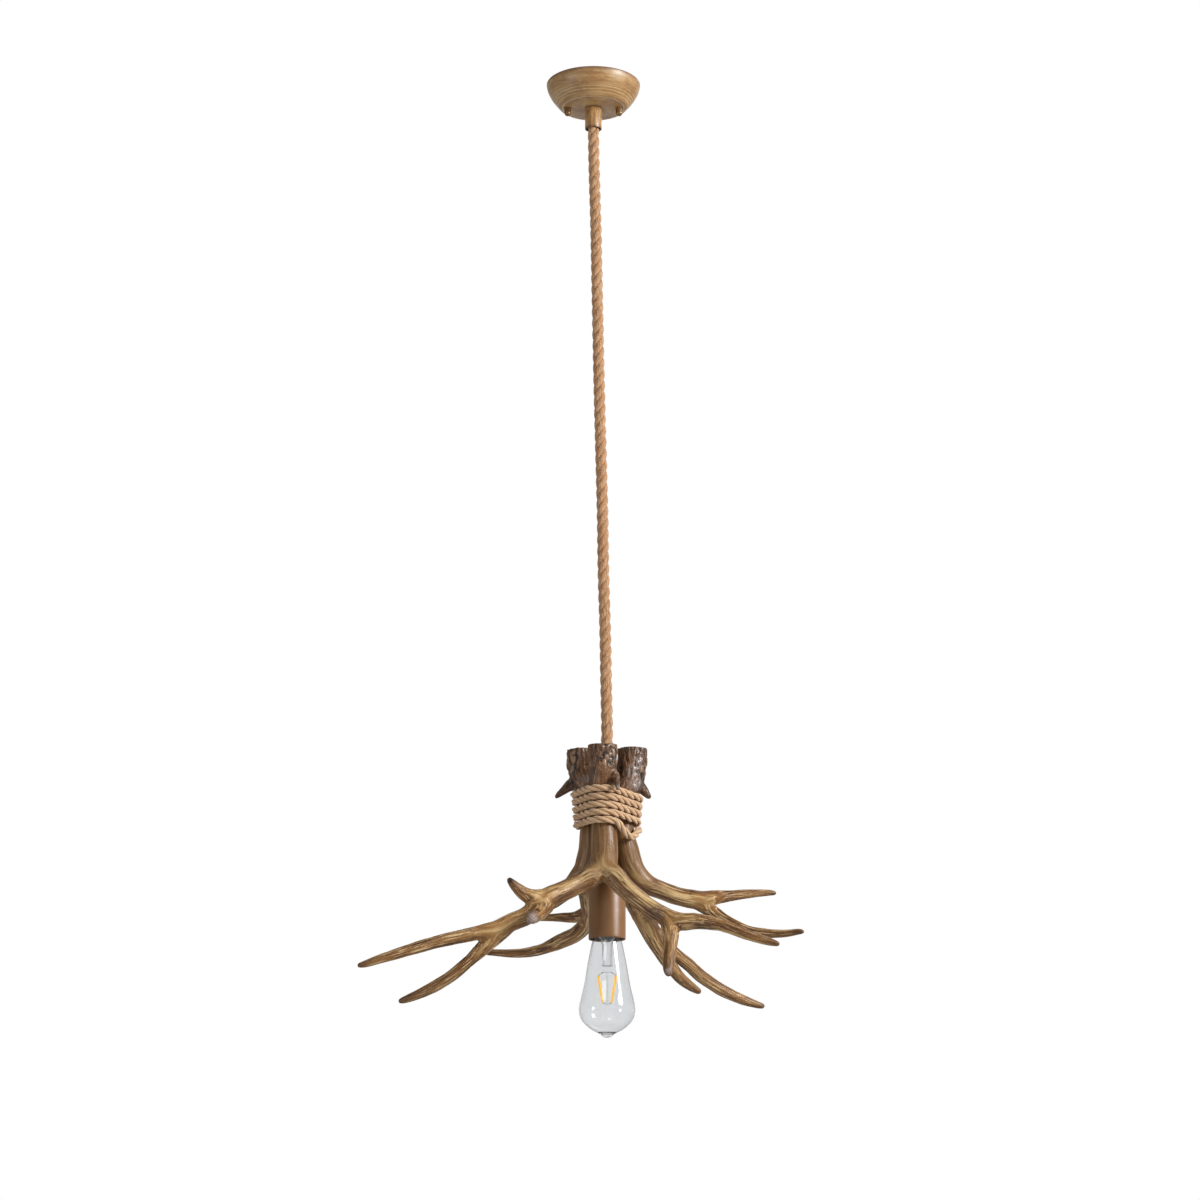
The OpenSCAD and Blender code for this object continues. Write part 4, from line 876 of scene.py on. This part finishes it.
def canopyFinish():
    f = Finish("canopyPaint", Coat_Weight=0.6, Coat_Roughness=0.5)
    place = f.place()
    x, y, z = f.parts(place)
    brushed = f.speckle(f.joined(x * 26.0, y * 26.0, z * 820.0), 1.0, 4, 0.7, 0.2)
    broad = f.speckle(f.joined(x * 26.0, y * 26.0, z * 90.0), 1.0, 5, 0.6, 0.6)
    scuffs = f.speckle(place, 90, 5, 0.65)
    colour = f.shades(brushed, (0.3, 130, 90, 46), (0.5, 166, 126, 74), (0.7, 194, 156, 102))
    colour = f.layered(colour, (broad, 0.5, 0.64, 0.75, 136, 88, 42), (broad, 0.46, 0.34, 0.5, 180, 152, 110),
                       (scuffs, 0.52, 0.66, 0.55, 126, 84, 42))
    # Painted light at each groove: a pale line 1.1 mm below it as a painted highlight and a dark line in it
    # as painted shade, their strength varied by noise.
    grooveLightStrength = f.span(f.speckle(place, 24, 3, 0.5, 0.4), 0.4, 0.6, 0.45, 1)
    for groove in canopyShape["grooves"]:
        depth = canopyShape["height"] * groove * mm
        beside, inside = (z + (depth + 0.0011)).sized(), (z + depth).sized()
        colour = f.mixed(f.span(beside, 0.0007, 0.0003, 0, 0.4) * grooveLightStrength, colour, tint(220, 190, 140))
        colour = f.mixed(f.span(inside, 0.0006, 0.0002, 0, 0.55) * grooveLightStrength, colour, tint(116, 78, 42))
    low = -canopyShape["height"] * mm
    fromLip = (f.length(f.joined(x, y, 0.0)) - canopyShape["lip"] * mm).sized()
    lip = f.span(fromLip, 0.0011, 0.0005, 0, 0.5) * f.span(z, low + 0.0015, low + 0.0005)
    colour = f.mixed(lip, colour, tint(222, 196, 152))
    f.feed("Base Color", f.layered(colour, (z, -0.005, -0.001, 0.85, 104, 66, 34)))
    f.feed("Roughness", f.span(brushed, 0.3, 0.7, 0.46, 0.34))
    f.bump(brushed, 0.00015, 0.6)
    return f.owner


def stemFinish():
    f = Finish("stemPaint", Coat_Weight=0.2, Coat_Roughness=0.3)
    place = f.place()
    x, y, z = f.parts(place)
    streaks = f.speckle(f.joined(x * 300.0, y * 300.0, z * 40.0), 1.0, 4, 0.6, 0.5)
    patches = f.speckle(place, 150, 4, 0.6)
    top, low = stemShape["top"] * mm, stemShape["low"] * mm
    fromTop = (z - (top - 0.0008)).sized()
    colour = f.shades(streaks, (0.3, 126, 84, 44), (0.5, 168, 126, 76), (0.7, 200, 162, 110))
    f.feed("Base Color", f.layered(colour, (patches, 0.5, 0.68, 0.6, 118, 76, 40),
                                   (fromTop, 0.0009, 0.0003, 0.7, 74, 46, 26),
                                   (z + patches * 0.004, low + 0.005, low + 0.0028, 0.6, 70, 44, 27)))
    f.feed("Roughness", f.span(patches, 0.3, 0.7, 0.5, 0.36))
    f.bump(streaks, 0.0003, 0.6)
    return f.owner


def paintFinish(name, dark, light, scale, roughness, metallic=0.0, wear=None, depth=0.0002):
    f = Finish(name, Metallic=metallic)
    patches = f.speckle(f.place(), scale, 5, 0.6)
    fine = f.speckle(f.place(), scale * 9, 4, 0.6)
    colour = f.shades(patches, (0.32, *dark), (0.66, *light))
    if wear:
        colour = f.layered(colour, (fine, 0.55, 0.72, 0.6, *wear))
    f.feed("Base Color", colour)
    f.feed("Roughness", f.span(fine, 0.3, 0.7, roughness - 0.06, roughness + 0.08))
    f.bump(fine, depth, 0.6)
    return f.owner


def brushedFinish(name, dark, light, roughness):
    f = Finish(name, Metallic=1.0)
    x, y, z = f.parts(f.place())
    lines = f.speckle(f.joined(x * 90.0, y * 900.0, z * 900.0), 1.0, 4, 0.6)
    smudge = f.speckle(f.place(), 140, 4, 0.6)
    f.feed("Base Color", f.shades(lines, (0.3, *dark), (0.7, *light)))
    f.feed("Roughness", f.span(smudge, 0.3, 0.7, roughness - 0.08, roughness + 0.1))
    f.bump(lines, 0.0001, 0.5)
    return f.owner


def glassFinish(name, thick, thin):
    f = Finish(name, Transmission_Weight=1.0, IOR=1.5)
    dust = f.speckle(f.place(), 60, 5, 0.6)
    # Both tints are greyed: painted shade standing in for the darker surroundings seen in the glass. The dust
    # speckle picks between them.
    f.feed("Base Color", f.ramp(dust, [(0.3, thick), (0.7, thin)]))
    f.feed("Roughness", f.span(dust, 0.4, 0.75, 0.0, 0.03))
    return f.owner


def filamentFinish():
    # The phosphor also glows a little though the bulb is off: painted light.
    f = Finish("filamentPhosphorGlow", Roughness=0.6, Emission_Strength=0.75)
    beads = f.speckle(f.place(), 1500, 3, 0.5)
    colour = f.shades(beads, (0.35, 240, 170, 50), (0.65, 252, 214, 104))
    f.feed("Base Color", colour)
    f.feed("Emission Color", colour)
    f.bump(beads, 0.0001, 0.5)
    return f.owner


finishes = {
    "jute": juteFinish("jute", (178, 132, 92), (220, 182, 140), (112, 72, 44), 0.75),
    "bindingJute": juteFinish("bindingJute", (206, 166, 124), (244, 220, 184), (146, 104, 68), 0.38),
    "antler": antlerFinish(), "canopy": canopyFinish(), "stem": stemFinish(),
    "steel": brushedFinish("zincSteel", (150, 152, 156), (206, 208, 212), 0.38),
    "brass": brushedFinish("brass", (176, 138, 70), (226, 190, 116), 0.3),
    "bulbMetal": brushedFinish("capAluminium", (186, 184, 178), (222, 220, 214), 0.3),
    "bronze": paintFinish("agedBronze", (56, 34, 18), (116, 76, 42), 320, 0.26, 0.5, (226, 178, 112)),
    "nut": paintFinish("nutPaint", (84, 56, 28), (138, 98, 52), 320, 0.26, 0.25, (226, 184, 122)),
    "cover": paintFinish("coverPaint", (128, 90, 54), (137, 98, 61), 40, 0.36, depth=0.00005),
    "ceramic": paintFinish("glazedCeramic", (196, 202, 188), (214, 218, 206), 90, 0.25),
    "sheath": paintFinish("cableSheath", (206, 206, 200), (226, 226, 220), 160, 0.45),
    "white": paintFinish("whiteMoulding", (214, 213, 206), (232, 231, 224), 200, 0.5),
    "brown": paintFinish("brownLead", (98, 58, 30), (128, 80, 46), 300, 0.4),
    "blue": paintFinish("blueLead", (46, 88, 168), (70, 116, 196), 300, 0.4),
    "green": paintFinish("greenLead", (84, 150, 58), (196, 196, 66), 160, 0.4),
    "black": paintFinish("blackGlass", (16, 16, 18), (30, 30, 34), 200, 0.15),
    "board": paintFinish("circuitBoard", (30, 92, 58), (52, 124, 80), 500, 0.5),
    "glass": glassFinish("clearGlass", (0.83, 0.84, 0.85, 1), (0.86, 0.87, 0.88, 1)),
    "stemGlass": glassFinish("stemGlass", (0.985, 0.985, 0.99, 1), (0.995, 0.995, 0.995, 1)),
    "filament": filamentFinish(),
}
print("finishes mixed")

pieceFinishes = {
    "jute": [hangingRope, ropeBend, ropeTop], "bindingJute": [binding], "antler": antlerPieces,
    "canopy": [canopyShell], "stem": [stem], "nut": capNuts, "cover": [socketCover], "glass": [bulbGlass],
    "filament": filamentPieces, "sheath": [coreCable, cableTop], "brown": [liveLead, socketLive],
    "blue": [neutralLead, socketNeutral], "green": [earthLead],
}
for finish, pieces in pieceFinishes.items():
    for piece in pieces:
        piece.data.materials.clear()
        piece.data.materials.append(finishes[finish])

nodeFinishes = {
    "steel": ["mounting_bar", "canopy_studs", "stud_locknuts", "stem_washer", "stem_locknut", "rope_clamp",
              "clamp_screw", "terminal_screws", "block_screw", "earth_screw", "antler_screws", "cover_nut",
              "cover_washer", "socket_screws", "bulb_wires"],
    "bronze": ["rope_ferrule", "hub_tube"],
    "brass": ["terminal_barrels", "earth_lug", "screw_shell", "socket_contact"],
    "white": ["terminal_block"],
    "ceramic": ["socket_insulator"],
    "bulbMetal": ["bulb_cap", "bulb_contact"],
    "black": ["bulb_cap_insulator"],
    "stemGlass": ["bulb_stem"],
    "board": ["bulb_driver"],
}
for finish, nodes in nodeFinishes.items():
    for node in nodes:
        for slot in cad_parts[node].material_slots:
            slot.material = finishes[finish]
print("solids dressed")

# Floor, sky and soft lamps. Only the camera sees the floor's full glow and a white sky.
studio = {"floor": -4.7, "floorWidth": 120, "glow": 0.16, "farGlow": 0.72, "nearFloor": 2, "farFloor": 12,
          "left": 0.22, "right": 0.5, "behind": 1.04, "behindWay": (0.968, 0.25), "behindEdge": (0.9, 0.965),
          "throughGlass": 0.6, "aim": (0, 0, -0.75),
          "lamps": [((2.65, -1.45, 0.15), 1.0, 104), ((-0.8, -3.0, 1.4), 1.2, 12), ((1.2, 1.6, 1.2), 1.2, 7),
                    ((-2.6, -1.6, -1.2), 0.6, 12)]}
bpy.ops.object.select_all(action="DESELECT")
bpy.ops.mesh.primitive_plane_add(size=studio["floorWidth"], location=(0, 0, studio["floor"]))
floor = bpy.context.object
floor.name = "floor"


def floorFinish():
    f = Finish("floorPaint", Roughness=0.8, Emission_Strength=1.0)
    clouds = f.speckle(f.place(), 3, 3)
    f.feed("Base Color", f.shades(clouds, (0.3, 240, 240, 238), (0.7, 244, 244, 242)))
    away = f.length(f.place())
    glow = f.span(away, studio["nearFloor"], studio["farFloor"], studio["glow"], studio["farGlow"])
    glow = glow * f.node("ShaderNodeLightPath", output="Is Camera Ray") + studio["glow"] * 0.5
    f.feed("Emission Color", f.joined(glow, glow, glow))
    return f.owner


def skyFinish():
    f = Finish("daylight", "Background", bpy.data.worlds, Strength=1.0)
    east, north, up = f.parts(f.node("ShaderNodeTexCoord", output="Generated"))
    sides = f.span(east, -1, 1, studio["left"], studio["right"])
    behind = north * studio["behindWay"][0] + up * studio["behindWay"][1]
    level = sides + f.span(behind, *studio["behindEdge"]) * (studio["behind"] - sides)
    rays = f.node("ShaderNodeLightPath").socket.node.outputs
    seen = Wire(f, rays["Is Camera Ray"]) + Wire(f, rays["Is Transmission Ray"]) * studio["throughGlass"]
    level = level + seen * (1.0 - level)
    f.feed("Color", f.joined(level, level, level))
    return f.owner


floor.data.materials.append(floorFinish())
bpy.context.scene.world = skyFinish()
for place, size, power in studio["lamps"]:
    bpy.ops.object.light_add(type="AREA", location=place)
    lamp = bpy.context.object
    lamp.data.size = size
    lamp.data.energy = power
    lamp.rotation_euler = (Vector(studio["aim"]) - Vector(place)).to_track_quat("-Z", "Y").to_euler()
print("studio lit")
